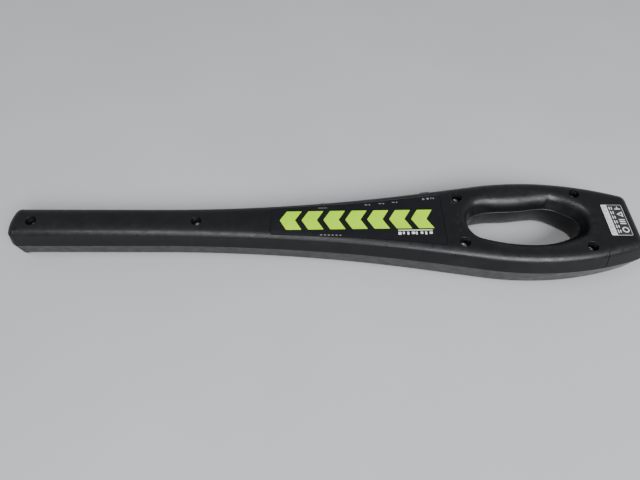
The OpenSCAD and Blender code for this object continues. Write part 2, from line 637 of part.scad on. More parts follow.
// ---- loudspeaker, facing the slots in the front shell ----
speaker_z = wall + 0.05;
magnet_r = speaker_d/2 - 5;
module speaker_gasket() color("#303236") translate([speaker_x, 0, speaker_z]) difference() {
  cylinder(d = speaker_d - 0.4, h = 0.8);
  translate([0, 0, -1]) cylinder(d = speaker_d - 4, h = 3);
}
module speaker_basket() color("#7b7f84") translate([speaker_x, 0, speaker_z + 0.85]) rotate_extrude()
  polygon([[speaker_d/2 - 2.4, 0], [speaker_d/2, 0], [speaker_d/2, 1.2], [speaker_d/2 - 3, 3.6],
    [magnet_r + 0.2, 4.4], [magnet_r + 0.2, 3.4], [speaker_d/2 - 3.6, 2.8], [speaker_d/2 - 2.4, 1]]);
module speaker_magnet() color("#4a4d52") translate([speaker_x, 0, speaker_z + 4.45]) {
  difference() {
    cylinder(r = magnet_r, h = 3.6);
    translate([0, 0, -1]) cylinder(r = 4.5, h = 3);
  }
}
module speaker_cone() color("#151515") translate([speaker_x, 0, speaker_z + 0.95]) rotate_extrude()
  polygon([[0, 1.2], [3.4, 1.2], [magnet_r - 0.2, 0.5], [speaker_d/2 - 3.4, 0.9],
    [speaker_d/2 - 2.6, 0.1], [speaker_d/2 - 2.6, 0.5], [speaker_d/2 - 3.5, 1.3],
    [magnet_r - 0.4, 0.9], [4, 1.8], [4, 4.2], [3.4, 4.2], [3.4, 1.6], [0, 1.6]]);

// ---- vibration motor in the rim of the handle ----
motor = [from_base(95), -29.6, 14.4];
motor_d = 7;
motor_len = 14;
shaft_d = 1;
weight_gap = 0.6;
module motor_can() color("#c4c7ca") translate(motor) rotate([0, 90, 0]) difference() {
  union() {
    translate([0, 0, -motor_len/2]) cylinder(d = motor_d, h = motor_len);
    translate([0, 0, motor_len/2 - eps]) cylinder(d = 2.6, h = weight_gap - 0.2);
  }
  translate([0, 0, motor_len/2 - 6]) cylinder(d = shaft_d + 0.06, h = 10);
}
module motor_weight() color("#8f7a4a") translate(motor) rotate([0, 90, 0])
  translate([0, 0, motor_len/2 + weight_gap]) {
    translate([0, 0, -5]) cylinder(d = shaft_d, h = 5 + 4);
    difference() {
      cylinder(d = 5.8, h = 4);
      translate([0.8, -5, -1]) cube([10, 10, 6]);
    }
  }
module motor_cradle() color("#22242a") translate([motor[0] - 5, motor[1], 0]) difference() {
  union() {
    translate([0, -motor_d/2 - 1.4, motor[2] - motor_d/2 - 2]) cube([10, motor_d + 2.8, motor_d/2 + 2]);
    translate([0, -0.7, wall + 0.05]) cube([10, 4, motor[2] - motor_d/2 - 1 - wall]);
  }
  translate([-1, 0, motor[2]]) rotate([0, 90, 0]) cylinder(d = motor_d + 0.1, h = 12);
}

// ---- coils in the paddle ----
coil_x = (from_tip(coil_ends[0]) + from_base(coil_ends[1]))/2;
coil_half = [(from_base(coil_ends[1]) - from_tip(coil_ends[0]))/2, coil_hw];
coil_z = 11.5;
paddle_boss = [for (d = paddle_screws) from_tip(d) - coil_x];
module race(hx, r, w, h) linear_extrude(h) difference() {
  race_2d(hx, r + w/2);
  race_2d(hx, r - w/2);
}
module race_2d(hx, r) {
  square([2*hx, 2*r], center = true);
  for (s = [1, -1]) translate([s*hx, 0]) circle(r = r);
}
tray_t = 1.2;
// the two receive coils share the room between the tip and the paddle screw
rx_room = [-coil_half[0] + 10, paddle_boss[1] - boss_d/2 - 3];
rx_mid = rx_room[0] + 0.6*(rx_room[1] - rx_room[0]);
post_at = [rx_room[0] + 16, rx_mid - 16, (rx_mid + rx_room[1])/2];
rib_at = [for (t = [0.18, 0.46, 0.74, 0.97]) rx_room[0] + t*(rx_room[1] - rx_room[0])];
tray_floor = wall + 0.1;
module coil_tray() color("#3b3e44") {
  translate([coil_x, 0, coil_z - tray_t - 0.05]) {
    linear_extrude(tray_t) difference() {
      race_2d(coil_half[0] - coil_half[1], coil_half[1] + winding[0]/2 + 0.4);
      for (x = paddle_boss) translate([x, 0]) circle(d = boss_d + 2*seat_gap);
    }
    for (x = post_at) translate([x, 0, tray_t - eps]) cylinder(d = 3, h = winding[1]);
  }
  for (x = rib_at) translate([coil_x + x - 1, -4, tray_floor])
    cube([2, 8, coil_z - tray_t - tray_floor]);
}
module transmit_coil() color("#b8622c") translate([coil_x, 0, coil_z])
  race(coil_half[0] - coil_half[1], coil_half[1], winding[0], winding[1]);
rx_r = coil_half[1] - winding[0]/2 - 0.4 - 1;
module rx_coil(x0, x1) translate([coil_x + (x0 + x1)/2, 0, coil_z])
  race((x1 - x0)/2 - rx_r, rx_r, 1.6, 3);
module receive_coil_front() color("#c98a3c") rx_coil(rx_room[0], rx_mid - 2);
module receive_coil_back() color("#c98a3c") rx_coil(rx_mid + 2, rx_room[1]);
// the plate lies on the flat of the front shell's floor, between its rounded edges
plate_w = 2*(paddle_hw - front_lean[0] - wall - front_edge_r + 0.4);
module shield_plate() color("#9aa0a6") translate([coil_x, 0, tray_floor])
  linear_extrude(0.3) difference() {
    square([2*coil_half[0] - 14, plate_w], center = true);
    for (x = rib_at) translate([x, 0]) square([2.6, 8.6], center = true);
    for (x = paddle_boss) translate([x, 0]) circle(d = boss_d + 2*seat_gap);
  }

// ---- battery ----
// just behind the opening's wall and the rear pair of screw posts
battery_x = max(hole_x + hole_dx[1] + hole_end_r[1] + wall + 3.2,
  from_base(rear_pair[0]) + boss_d/2 + seat_gap);
battery_y = -battery_size[1]/2 - 0.4;
battery_z = wall + battery_up;
stud = [[-6.35, 5.6], [6.35, 7.6]];          // place along X and diameter of the two studs
stud_h = 2.8;
module battery() color("#2c6e8f") translate([battery_x, battery_y, battery_z]) {
  rotate([-90, 0, 0]) translate([0, -battery_size[2], 0])
    linear_extrude(battery_size[1]) rounded_2d(battery_size[0], battery_size[2], 2);
  for (s = stud) translate([battery_size[0]/2 + s[0], battery_size[1] - eps, battery_size[2]/2])
    rotate([-90, 0, 0]) cylinder(d = s[1], h = stud_h);
}
module rounded_2d(w, h, r) {
  translate([r, 0]) square([w - 2*r, h]);
  translate([0, r]) square([w, h - 2*r]);
  for (x = [r, w - r]) for (y = [r, h - r]) translate([x, y]) circle(r = r);
}
contact_y = battery_y + battery_size[1] + stud_h + 0.1;
module battery_contacts() color("#c9b25a")
  translate([battery_x + 1, contact_y, battery_z])
    cube([battery_size[0] - 12, 0.6, battery_size[2] - 1]);
module battery_foam() color("#2f3033")
  translate([door_x + 1.5, -battery_size[1]/2 + 3, wall + 0.05])
    cube([battery_x + battery_size[0] - door_x - 3.5, battery_size[1] - 8, battery_z - wall - 0.1]);

// ---- leads held inside the case ----
function unit(v) = v/norm(v);
module lead(path, r) {
  k = 8;
  n = len(path);
  dirs = [for (i = [0 : n - 1]) unit(path[min(n - 1, i + 1)] - path[max(0, i - 1)])];
  pts = [for (i = [0 : n - 1]) let(u = unit(cross(dirs[i], [0.1, 0.2, 1])), v = cross(u, dirs[i]))
    for (j = [0 : k - 1]) path[i] + r*(cos(360*j/k)*u + sin(360*j/k)*v)];
  polyhedron(pts, concat([[for (j = [k - 1 : -1 : 0]) j]], [[for (j = [0 : k - 1]) (n - 1)*k + j]],
    [for (i = [0 : n - 2]) for (j = [0 : k - 1]) let(a = i*k + j, b = i*k + (j + 1) % k)
      for (f = [[a, b, b + k], [a, b + k, a + k]]) f]));
}
rim_steps = 9;
lead_r = 0.7;
lead_z = tongue_z + tongue[2]/2 + 2;         // above the tongues of the battery door
function rim_pt(d, z) = [from_base(d), half_w(from_base(d)) - 10.5, z];
boss_pass = rear_pair[1] + boss_d/2 + lead_r + 0.9;
module battery_leads() color("#8c1f1f") for (k = [0, 1]) let(z = lead_z + 2.1*k)
  lead(concat(
    [[battery_x + 4, contact_y + 0.65 + lead_r, z], [battery_x - 1, contact_y + 2.6, z],
     [from_base(rear_pair[0]) + 3.2, boss_pass - 0.4, z], [from_base(rear_pair[0]) - 3.2, boss_pass, z]],
    [for (i = [0 : rim_steps]) rim_pt(59 + 62*i/rim_steps, z)],
    [[from_base(129), 30.6, z], [from_base(137), 28.8, z], [from_base(144), 24.5 - k, z - k/2],
     [from_base(150), 16 - 3*k, 17 + k/2], [from_base(155), 12 - 3*k, board_top + lead_r]]), lead_r);
coil_end = coil_x + coil_half[0] + winding[0]/2 + 0.02;
plug_face = board_x[0] + 1;
plug_z = board_top + 3.8;
module coil_leads() color("#d9d3c4") for (y = [-3, 3])
  lead([[coil_end, y*0.7, coil_z + 2.5], [coil_end + 6, y*0.7, coil_z + 2.6],
    [plug_face - 24, y*0.8, plug_z - 3], [plug_face - 12, y*0.9, plug_z - 0.4],
    [plug_face - 5, y, plug_z], [plug_face + 0.9, y, plug_z]], 0.6);

front_shell();
rear_shell();
battery_door();
label_panel();
rating_sticker();
case_screws();
mode_knob();
mode_lever();
mode_switch_body();
push_button();
button_plunger();
button_switch_body();
lens_green();
lens_amber();
lens_red();
indicator_leds();
main_board();
board_chips();
board_capacitors();
coil_plug();
speaker_basket();
speaker_magnet();
speaker_cone();
speaker_gasket();
motor_can();
motor_weight();
motor_cradle();
coil_tray();
transmit_coil();
receive_coil_front();
receive_coil_back();
shield_plate();
battery();
battery_contacts();
battery_foam();
battery_leads();
coil_leads();
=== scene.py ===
# %% [markdown]
# # A hand-held security detector wand
#
# The wand is a long moulded case in two halves. A narrow paddle holds the search coils, the
# middle widens into a handle with a finger opening, and the base holds a block battery.
# It lies on its front face, so its rear face, with the label and the screw wells, looks up.
#
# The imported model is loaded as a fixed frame. It is true in size but coarse, so the pieces that
# are seen closely are made again here from the same rules, with finer edges. The rest keep
# their shape and only get a better finish.

# %% Load the fixed frame
import math

import bmesh
import bpy
import numpy as np
from mathutils import Matrix, Vector
from mathutils.geometry import delaunay_2d_cdt


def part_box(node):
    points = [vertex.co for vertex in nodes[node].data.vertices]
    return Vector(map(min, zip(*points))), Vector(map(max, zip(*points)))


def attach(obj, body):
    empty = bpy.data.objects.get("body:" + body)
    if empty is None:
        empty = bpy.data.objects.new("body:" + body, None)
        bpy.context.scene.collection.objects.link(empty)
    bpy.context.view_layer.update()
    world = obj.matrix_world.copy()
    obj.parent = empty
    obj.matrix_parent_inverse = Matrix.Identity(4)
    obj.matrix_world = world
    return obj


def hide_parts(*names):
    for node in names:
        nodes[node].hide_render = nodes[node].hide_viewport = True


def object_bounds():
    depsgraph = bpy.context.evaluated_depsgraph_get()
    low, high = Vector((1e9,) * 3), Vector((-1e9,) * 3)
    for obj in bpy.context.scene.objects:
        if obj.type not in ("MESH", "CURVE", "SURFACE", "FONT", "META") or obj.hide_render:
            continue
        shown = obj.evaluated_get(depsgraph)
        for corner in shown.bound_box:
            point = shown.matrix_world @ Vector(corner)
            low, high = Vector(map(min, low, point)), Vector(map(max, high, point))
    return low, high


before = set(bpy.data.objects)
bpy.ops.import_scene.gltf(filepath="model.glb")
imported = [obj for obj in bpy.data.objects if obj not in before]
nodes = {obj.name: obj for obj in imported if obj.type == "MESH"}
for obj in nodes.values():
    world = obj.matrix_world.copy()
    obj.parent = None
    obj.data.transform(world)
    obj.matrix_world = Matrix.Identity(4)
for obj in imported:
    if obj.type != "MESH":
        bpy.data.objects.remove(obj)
cad_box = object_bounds()
MM = 0.001                      # a moulded case is drawn in millimetres; the scene is in metres
half_len = cad_box[1][0] / MM
print(f"frame: {len(nodes)} pieces, half length {half_len:.1f} mm")

# %% [markdown]
# ## The view
#
# A pinhole camera stands in front of the wand and above it, and looks down by 57 degrees. Its
# matrix is made from three directions, right, up and back, which is easier to reason about than
# three turns. The roll of half a degree is how a hand holds a camera.

# %% Camera
def camera_matrix(place_mm, pitch, roll, yaw):
    ahead = Vector((math.sin(yaw) * math.cos(pitch), math.cos(yaw) * math.cos(pitch), -math.sin(pitch)))
    level = Vector((math.cos(yaw), -math.sin(yaw), 0))
    upright = level.cross(ahead)
    right = math.cos(roll) * level + math.sin(roll) * upright
    up = -math.sin(roll) * level + math.cos(roll) * upright
    turn = Matrix((right, up, -ahead)).transposed().to_4x4()
    return Matrix.Translation(Vector(place_mm) * MM) @ turn


eye = bpy.data.cameras.new("eye")
eye.lens = 26.6
eye.sensor_width = 36
eye.clip_start = 0.01
camera = bpy.data.objects.new("eye", eye)
camera.matrix_world = camera_matrix((-5.0, -211.4, 327.7), 0.993, 0.010, 0.010)
bpy.context.scene.collection.objects.link(camera)
bpy.context.scene.camera = camera
print("camera at", [round(v, 3) for v in camera.matrix_world.translation])

# %% [markdown]
# ## The rules of the case
#
# A case like this is drawn from a plan outline and a section. The outline is a straight paddle,
# a long hollow curve, and the round sides of the handle. The section of the rear half is a
# leaning wall, an edge, and a broad shoulder that runs up into a slightly crowned face. On the
# paddle that edge is crisp, on the handle it is round. Both halves, the label, the wells and the
# opening follow these rules, so they are written once, as functions of the place along the wand.

# %% Section rules, in millimetres
PADDLE_HALF, TIP_R, TIP_END_R, BASE_R = 15.2, 6.5, 40.0, 10.0
FLARE_R, FLARE = 1309.0, math.radians(9)
GRIP_R = 243.0
WALL, FRONT_R = 1.8, 5.0
TURN = math.radians(55)         # the edge turns from the wall to here, the shoulder on to the face
flare_start = half_len - 373
grip_start = half_len - 122.2
blend_from, blend_to = half_len - 341, half_len - 107


def ease(x):
    t = np.clip((np.asarray(x, float) - blend_from) / (blend_to - blend_from), 0, 1)
    return t * t * (3 - 2 * t)


def along(paddle, handle, x):
    return paddle + (handle - paddle) * ease(x)


def tipped(x, share): return 1 - share * np.clip((8 - half_len - np.asarray(x, float)) / 8, 0, 1)
def part_z(x): return along(18.2, 22.3, x)
def wall_turn(x): return np.radians(along(16, 27, x) * tipped(x, 0.35))
def crest_r(x): return along(0.8, 6.5, x)
def shoulder_r(x): return along(11.3, 9.5, x)
def edge_z(x): return along(30.4 - 0.5, 34.2 - 0.45, x)
def front_lean(x): return along(3.2, 4.0, x) * tipped(x, 0.9)
def wall_in(x, z): return np.maximum(0, z - part_z(x)) * np.tan(wall_turn(x))


def crown(x):
    fade = np.clip((half_len - np.abs(x)) / 30, 0, 1)
    return along(0.5, 0.45, x) * np.sin(fade * math.pi / 2)


flare_x = flare_start + FLARE_R * math.sin(FLARE)
flare_y = PADDLE_HALF + FLARE_R * (1 - math.cos(FLARE))
grip_y = flare_y + (grip_start - flare_x) * math.tan(FLARE)
grip_c = (grip_start + GRIP_R * math.sin(FLARE), grip_y - GRIP_R * math.cos(FLARE))
base_cx = half_len - BASE_R
base_cy = grip_c[1] + math.sqrt((GRIP_R - BASE_R) ** 2 - (base_cx - grip_c[0]) ** 2)
base_turn = math.atan2(base_cy - grip_c[1], base_cx - grip_c[0])


def half_w(x):
    x = np.asarray(x, float)
    hollow = PADDLE_HALF + FLARE_R - np.sqrt(np.maximum(FLARE_R ** 2 - (x - flare_start) ** 2, 0))
    grip = grip_c[1] + np.sqrt(np.maximum(GRIP_R ** 2 - (x - grip_c[0]) ** 2, 0))
    return np.select([x < flare_start, x < flare_x, x < grip_start],
                     [PADDLE_HALF + 0 * x, hollow, flare_y + (x - flare_x) * math.tan(FLARE)], grip)


def crest_z(x):
    return edge_z(x) - shoulder_r(x) * (1 - math.sin(TURN)) \
        - crest_r(x) * (math.sin(TURN) - np.sin(wall_turn(x)))


def face_in(x):
    return wall_in(x, crest_z(x)) + shoulder_r(x) * math.cos(TURN) \
        + crest_r(x) * (np.cos(wall_turn(x)) - math.cos(TURN))


def face_z(x, y):
    flat, r = half_w(x) - face_in(x), shoulder_r(x)
    slope = np.arctan(2 * crown(x) / flat)
    reach, out = flat + r * np.sin(slope), np.abs(y)
    crowned = edge_z(x) - r * (1 - np.cos(slope)) + np.tan(slope) * reach / 2 * (1 - (out / reach) ** 2)
    return np.where(out < reach, crowned, edge_z(x) - r + np.sqrt(r ** 2 - np.clip(out - flat, 0, r) ** 2))


print(f"widest half width {float(half_w(np.linspace(120, 200, 400)).max()):.1f} mm")

# %% [markdown]
# ## The outline as rows
#
# Each row is a point of the outline on the far side with the direction that points out of the
# case there. Moving a row in along that direction gives every ring of the section. Short arcs
# get close rows, because a corner shows its facets first.

# %% Rows of the outline
def arc_rows(cx, cy, r, start, end, count, hollow=False):
    turn = np.linspace(start, end, count)
    out = -1 if hollow else 1
    return np.stack([cx + r * np.cos(turn), cy + r * np.sin(turn),
                     out * np.cos(turn), out * np.sin(turn)], 1)


def straight_rows(a, b, normal, count):
    t = np.linspace(0, 1, count)[:, None]
    return np.hstack([np.array(a) * (1 - t) + np.array(b) * t, np.tile(normal, (count, 1))])


tip_dx = math.sqrt((TIP_END_R - TIP_R) ** 2 - (PADDLE_HALF - TIP_R) ** 2)
tip_cx, tip_turn = -half_len + TIP_END_R - tip_dx, math.atan2(PADDLE_HALF - TIP_R, tip_dx)
rows = np.vstack([
    arc_rows(-half_len + TIP_END_R, 0, TIP_END_R, math.radians(179.4), math.pi - tip_turn, 10),
    arc_rows(tip_cx, PADDLE_HALF - TIP_R, TIP_R, math.pi - tip_turn, math.pi / 2, 16)[1:],
    straight_rows((tip_cx, PADDLE_HALF), (flare_start, PADDLE_HALF), (0, 1), 28)[1:],
    arc_rows(flare_start, PADDLE_HALF + FLARE_R, FLARE_R, -math.pi / 2, -math.pi / 2 + FLARE, 48, True)[1:],
    straight_rows((flare_x, flare_y), (grip_start, grip_y), (-math.sin(FLARE), math.cos(FLARE)), 12)[1:],
    arc_rows(*grip_c, GRIP_R, math.pi / 2 + FLARE, base_turn, 56)[1:],
    arc_rows(base_cx, base_cy, BASE_R, base_turn, 0, 16)[1:]])
row_x = rows[:, 0]
ROWS = len(rows)
ACROSS = 28
print(f"outline of {ROWS} rows a side")

# %% [markdown]
# ## Rings, walls and caps
#
# A ring is the outline moved in by some amount at some height. Stacked rings joined by quads
# make the walls. The rear face is a grid of strips between the two sides, which lets it carry
# the crown. Building it as a grid, and not as one large polygon, keeps its shading smooth.

# %% Rings and caps
def ring(inset, height):
    inset, height = inset + 0 * row_x, height + 0 * row_x
    x, y = rows[:, 0] - inset * rows[:, 2], rows[:, 1] - inset * rows[:, 3]
    share = 1 - 2 * np.arange(1, ACROSS) / ACROSS
    far = np.stack([x, y, height], 1)
    base = np.stack([x[-1] + 0 * share, y[-1] * share, height[-1] + 0 * share], 1)
    near = np.stack([x, -y, height], 1)[::-1]
    tip = np.stack([x[0] + 0 * share, -y[0] * share, height[0] + 0 * share], 1)
    return np.vstack([far, base, near, tip])


def cap_index(i, j):
    """Index within a ring of row i, strip line j, or None inside the cap."""
    if j == 0:
        return i
    if j == ACROSS:
        return ROWS + (ACROSS - 1) + (ROWS - 1 - i)
    if i == ROWS - 1:
        return ROWS + j - 1
    if i == 0:
        return 2 * ROWS + (ACROSS - 1) + (ACROSS - 1 - j)
    return None


def new_piece(name, points_mm, faces):
    mesh = bpy.data.meshes.new(name)
    mesh.from_pydata((np.asarray(points_mm, float) * MM).tolist(), [], faces)
    mesh.validate()
    piece = bpy.data.objects.new(name, mesh)
    bpy.context.scene.collection.objects.link(piece)
    return piece


def stacked(name, rings, top_rise, low_rise=None):
    count = len(rings[0])
    points = list(np.vstack(rings))
    faces = []
    for k in range(len(rings) - 1):
        for j in range(count):
            q = (j + 1) % count
            faces.append((k * count + j, (k + 1) * count + j, (k + 1) * count + q, k * count + q))
    for first, rise, flip in ((0, low_rise, True), ((len(rings) - 1) * count, top_rise, False)):
        edge = rings[0] if flip else rings[-1]
        grid = np.zeros((ROWS, ACROSS + 1), int)
        for i in range(ROWS):
            for j in range(ACROSS + 1):
                at = cap_index(i, j)
                if at is None:
                    s = 1 - 2 * j / ACROSS
                    lift = 0 if rise is None else rise[i] * (1 - s * s)
                    at = len(points)
                    points.append((edge[i][0], edge[i][1] * s, edge[i][2] + lift))
                    grid[i, j] = at
                else:
                    grid[i, j] = first + at
        for i in range(ROWS - 1):
            for j in range(ACROSS):
                quad = (grid[i, j], grid[i, j + 1], grid[i + 1, j + 1], grid[i + 1, j])
                faces.append(quad[::-1] if flip else quad)
    return new_piece(name, points, faces)


def facing_out(piece):
    bm = bmesh.new()
    bm.from_mesh(piece.data)
    bmesh.ops.recalc_face_normals(bm, faces=bm.faces)
    if bm.calc_volume(signed=True) < 0:
        bmesh.ops.reverse_faces(bm, faces=bm.faces)
    bm.to_mesh(piece.data)
    bm.free()
    return piece


# %% [markdown]
# ## The two blanks
#
# Each half starts as a solid blank: an outer form and, for the hollow, the same form moved in by
# the wall. On the rear half the shoulder stops where the crown's slope takes over, so light runs
# over it without a line. A small chamfer along the joint of the halves makes the groove
# that a real parting line shows.

# %% Blanks of the rear and front halves
CHAMFER = 0.35


def edge_ring(a, inner):
    """Ring where the surface, moved in by inner, has turned to angle a."""
    x, up, low = row_x, np.maximum(a, TURN), np.minimum(a, TURN)
    shoulder, crest = shoulder_r(x) - inner, np.maximum(crest_r(x) - inner, 0.3)
    z = edge_z(x) - inner - shoulder * (1 - np.sin(up)) - crest * (math.sin(TURN) - np.sin(low))
    inset = face_in(x) - shoulder * np.cos(up) - crest * (np.cos(low) - math.cos(TURN))
    return ring(np.where(a > TURN, inset, np.maximum(inset, inner + wall_in(x, z))), z)


def rear_blank(name, inner=0.0):
    half = np.maximum(rows[:, 1] - face_in(row_x) * rows[:, 3], 1)
    slope = np.arctan(2 * crown(row_x) / half)
    rings = [ring(inner, part_z(row_x) - 2), ring(inner, part_z(row_x))] if inner else \
        [ring(2 * CHAMFER, part_z(row_x)), ring(0, part_z(row_x) + CHAMFER)]
    start = wall_turn(row_x)
    first, last = rings[-1], edge_ring(start, inner)
    rings += [first * (1 - t) + last * t for t in (0.33, 0.66)]
    rings += [edge_ring(start + (TURN - start) * t, inner) for t in np.linspace(0, 1, 3 if inner else 7)]
    rings += [edge_ring(TURN + (math.pi / 2 - slope - TURN) * t, inner)
              for t in np.linspace(0, 1, 3 if inner else 9)[1:]]
    top = rings[-1]
    rise = np.tan(slope) * np.maximum(top[:ROWS, 1], 1) / 2
    return facing_out(stacked(name, rings, rise))


def front_blank(name, inner=0.0):
    lean, r, start = front_lean(row_x), FRONT_R, math.radians(16)
    rings = [ring(inner + lean + r * (1 - math.cos(a)), inner + r - r * math.sin(a))
             for a in np.linspace(math.pi / 2, start, 4 if inner else 11)]
    top = part_z(row_x)
    rings += [ring(inner, top), ring(inner, top + 2)] if inner else \
        [ring(0, top - CHAMFER), ring(2 * CHAMFER, top)]
    return facing_out(stacked(name, rings, None))


# %% [markdown]
# ## Tools that cut
#
# Booleans are the quick way to cut wells, slots and the opening, as a mould is cut. The rounded
# lips are part of the cutting tools, so every cut leaves its own soft edge. The manifold solver
# is used because it is fast and never leaves stray faces on closed solids.

# %% Cutting and joining
def carve(piece, tool, how="DIFFERENCE"):
    cut = piece.modifiers.new("cut", "BOOLEAN")
    cut.operation, cut.solver, cut.object = how, "MANIFOLD", tool
    shaped = bpy.data.meshes.new_from_object(piece.evaluated_get(bpy.context.evaluated_depsgraph_get()))
    piece.modifiers.clear()
    piece.data = shaped
    bpy.data.objects.remove(tool)
    return piece


def looped(name, loops):
    """Closed solid through loops of equal length, with a fan at each end."""
    count = len(loops[0])
    points = np.vstack([*loops, loops[0].mean(0)[None], loops[-1].mean(0)[None]])
    faces = []
    for k in range(len(loops) - 1):
        for j in range(count):
            q = (j + 1) % count
            faces.append((k * count + j, k * count + q, (k + 1) * count + q, (k + 1) * count + j))
    low, high, last = len(points) - 2, len(points) - 1, (len(loops) - 1) * count
    for j in range(count):
        q = (j + 1) % count
        faces += [(low, q, j), (high, last + j, last + q)]
    return facing_out(new_piece(name, points, faces))


def turned(name, profile, place, axis="Z", steps=40):
    """Solid of revolution from (radius, height) pairs, standing at place along axis."""
    turn = np.arange(steps) * 2 * math.pi / steps
    loops = []
    for r, h in profile:
        x, y, z = r * np.cos(turn), r * np.sin(turn), h + 0 * turn
        loop = {"Z": (x, y, z), "Y": (x, z, y), "X": (z, x, y)}[axis]
        loops.append(np.stack(loop, 1) + np.array(place))
    return looped(name, loops)


def block(name, low, high):
    corners = [(x, y, z) for z in (low[2], high[2])
               for x, y in ((low[0], low[1]), (high[0], low[1]), (high[0], high[1]), (low[0], high[1]))]
    return facing_out(new_piece(name, corners, [(0, 1, 2, 3), (4, 5, 6, 7), (0, 1, 5, 4), (1, 2, 6, 5),
                                                (2, 3, 7, 6), (3, 0, 4, 7)]))


# %% [markdown]
# ## The finger opening
#
# The opening is a long lens with round ends. On the far side it swells and dips once, which
# seats the fingers. Its wall leans outwards to the rear face and ends in a rounded rim. Along a
# stretch of the far side the rim is much rounder, a scoop that ends quickly towards the base.
# To the front face the wall flares in a long curve. Tracing one closed loop at each height and
# stacking the loops gives the whole space as one cutting tool.

# %% Shape of the opening
hole_x = half_len - 85.5
HOLE_HALF = 17.3
hole_side, hole_end = (126.0, 86.0), (12.0, 9.5)
hole_dx = [math.sqrt((s - e) ** 2 - (s - HOLE_HALF) ** 2) for s, e in zip(hole_side, hole_end)]
hole_turn = [math.atan2(s - HOLE_HALF, d) for s, d in zip(hole_side, hole_dx)]


def spread(a, b, count):
    return np.linspace(a, b, count, endpoint=False)


hole_turns = np.concatenate([
    spread(-hole_turn[1], hole_turn[1], 44), spread(hole_turn[1], math.pi / 2, 40),
    spread(math.pi / 2, math.pi - hole_turn[0], 40),
    spread(math.pi - hole_turn[0], math.pi + hole_turn[0], 48),
    spread(math.pi + hole_turn[0], 1.5 * math.pi, 40),
    spread(1.5 * math.pi, 2 * math.pi - hole_turn[1], 40)])


def bell(x, middle, width):
    return np.exp(-((x - middle) / width) ** 2)


def hole_loop(out):
    a = hole_turns
    k = (np.cos(a) > 0).astype(int)
    on_side = np.abs(np.sin(a)) > np.sin(np.array(hole_turn)[k]) + 1e-4
    cx = np.where(on_side, 0, (2 * k - 1) * np.array(hole_dx)[k])
    cy = np.where(on_side, -np.sign(np.sin(a)) * (np.array(hole_side)[k] - HOLE_HALF), 0)
    r = np.where(on_side, np.array(hole_side)[k], np.array(hole_end)[k])
    x = cx + r * np.cos(a)
    fingers = (3 * bell(x, 23, 13) - 2.2 * bell(x, -8, 17)) * np.maximum(0, np.sin(a))
    reach = r + out + fingers
    return hole_x + cx + reach * np.cos(a), cy + reach * np.sin(a)


sideways = np.sin(hole_turns) ** 2
hole_lean = 3.2 + (6.0 - 3.2) * sideways
hole_flare = 5.4 + (6.2 - 5.4) * sideways


def scoop(x):
    share = np.clip((x - hole_x + 34) / 16, 0, 1) * np.clip((20 - x + hole_x) / 4, 0, 1)
    return share * share * (3 - 2 * share) * (np.sin(hole_turns) > 0.3)


def opening_tool(name, extra=0.0):
    loops = []
    mid_x, _ = hole_loop(extra)
    joint_z = part_z(mid_x)
    for t in np.linspace(math.pi / 2, 0.12, 12):
        out = extra + hole_flare * (1 - math.cos(t))
        if not loops:
            loops.append(np.stack([*hole_loop(out), -2 + 0 * mid_x], 1))
        loops.append(np.stack([*hole_loop(out), joint_z * (1 - math.sin(t))], 1))
    groove = 0 if extra else CHAMFER
    for dz, out in ((-CHAMFER, 0), (0, groove), (CHAMFER, 0)):
        loops.append(np.stack([*hole_loop(extra + out), joint_z + dz], 1))
    lean, rim_r = hole_lean - 3.4 * scoop(mid_x), 5 + 4 * scoop(mid_x)
    rim_x, rim_y = hole_loop(extra + lean + rim_r)
    rim_z = face_z(rim_x, rim_y)
    for u in (0, *np.radians(np.linspace(6, 84, 12))):
        z = rim_z - rim_r * (1 - math.sin(u))
        out = extra + lean * (z - joint_z) / (rim_z - joint_z) + rim_r * (1 - math.cos(u))
        loops.append(np.stack([*hole_loop(out), z], 1))
    loops.append(loops[-1] + np.array((0, 0, 3)))
    return looped(name, loops)


# %% [markdown]
# ## Where the screws, wells and controls sit
#
# Six screws hold the halves together. Each sits at the bottom of a deep round well. The places
# are measured from the tip or from the base, as on a drawing. On the far side wall are the mode
# switch, the push button and three small lenses, and each needs its own cut.

# %% Places of screws and controls
screws = [(d - half_len, 0.0) for d in (18.5, 145.5)] + \
    [(half_len - d, s * y) for d, y in ((139, 20.9), (45, 24.7)) for s in (1, -1)]
WELL_R, WELL_FLOOR = 3.9, 4.2
side_z = 24.7
lens_x = [half_len - d for d in (210, 199, 188.5)]
button_x, mode_x, door_x, speaker_x = (half_len - d for d in (245, 162, 34, 175))


def wall_y(x):
    return float(half_w(x) - wall_in(x, side_z))


def well_tool(x, y):
    floor, top = float(part_z(x)) + WELL_FLOOR, float(face_z(x, y))
    lip = [(WELL_R + 0.5 * (1 - math.cos(u)), top - 0.5 * (1 - math.sin(u))) for u in
           np.radians(np.linspace(0, 80, 5))]
    profile = [(0.01, floor), (WELL_R, floor), *lip, (lip[-1][0], top + 2)]
    return turned("well", profile, (x, y, 0), steps=48)


def mode_slot():
    turn = Matrix.Rotation(FLARE, 4, "Z")
    tool = block("slot", (-7.05, -6, -2.35), (7.05, 6, 2.35))
    tool.data.transform(Matrix.Translation(Vector((mode_x, wall_y(mode_x), side_z)) * MM) @ turn)
    return tool


print("screws at", [(round(x), round(y)) for x, y in screws])

# %% [markdown]
# ## The label's bed
#
# The label is a dark plastic overlay glued into a shallow bed. Its sides run parallel to the
# edges of the case, so it is a wedge with small round corners. The bed is cut with a tool that
# follows the crown of the face, a little larger than the label, and its upper edge is eased.

# %% Label outline and the bed's tool
label_x0, label_x1 = half_len - 285, half_len - 152.5


def label_half(x, grow=0.0):
    return half_w(x) - along(5.3, 10.7, x) + grow


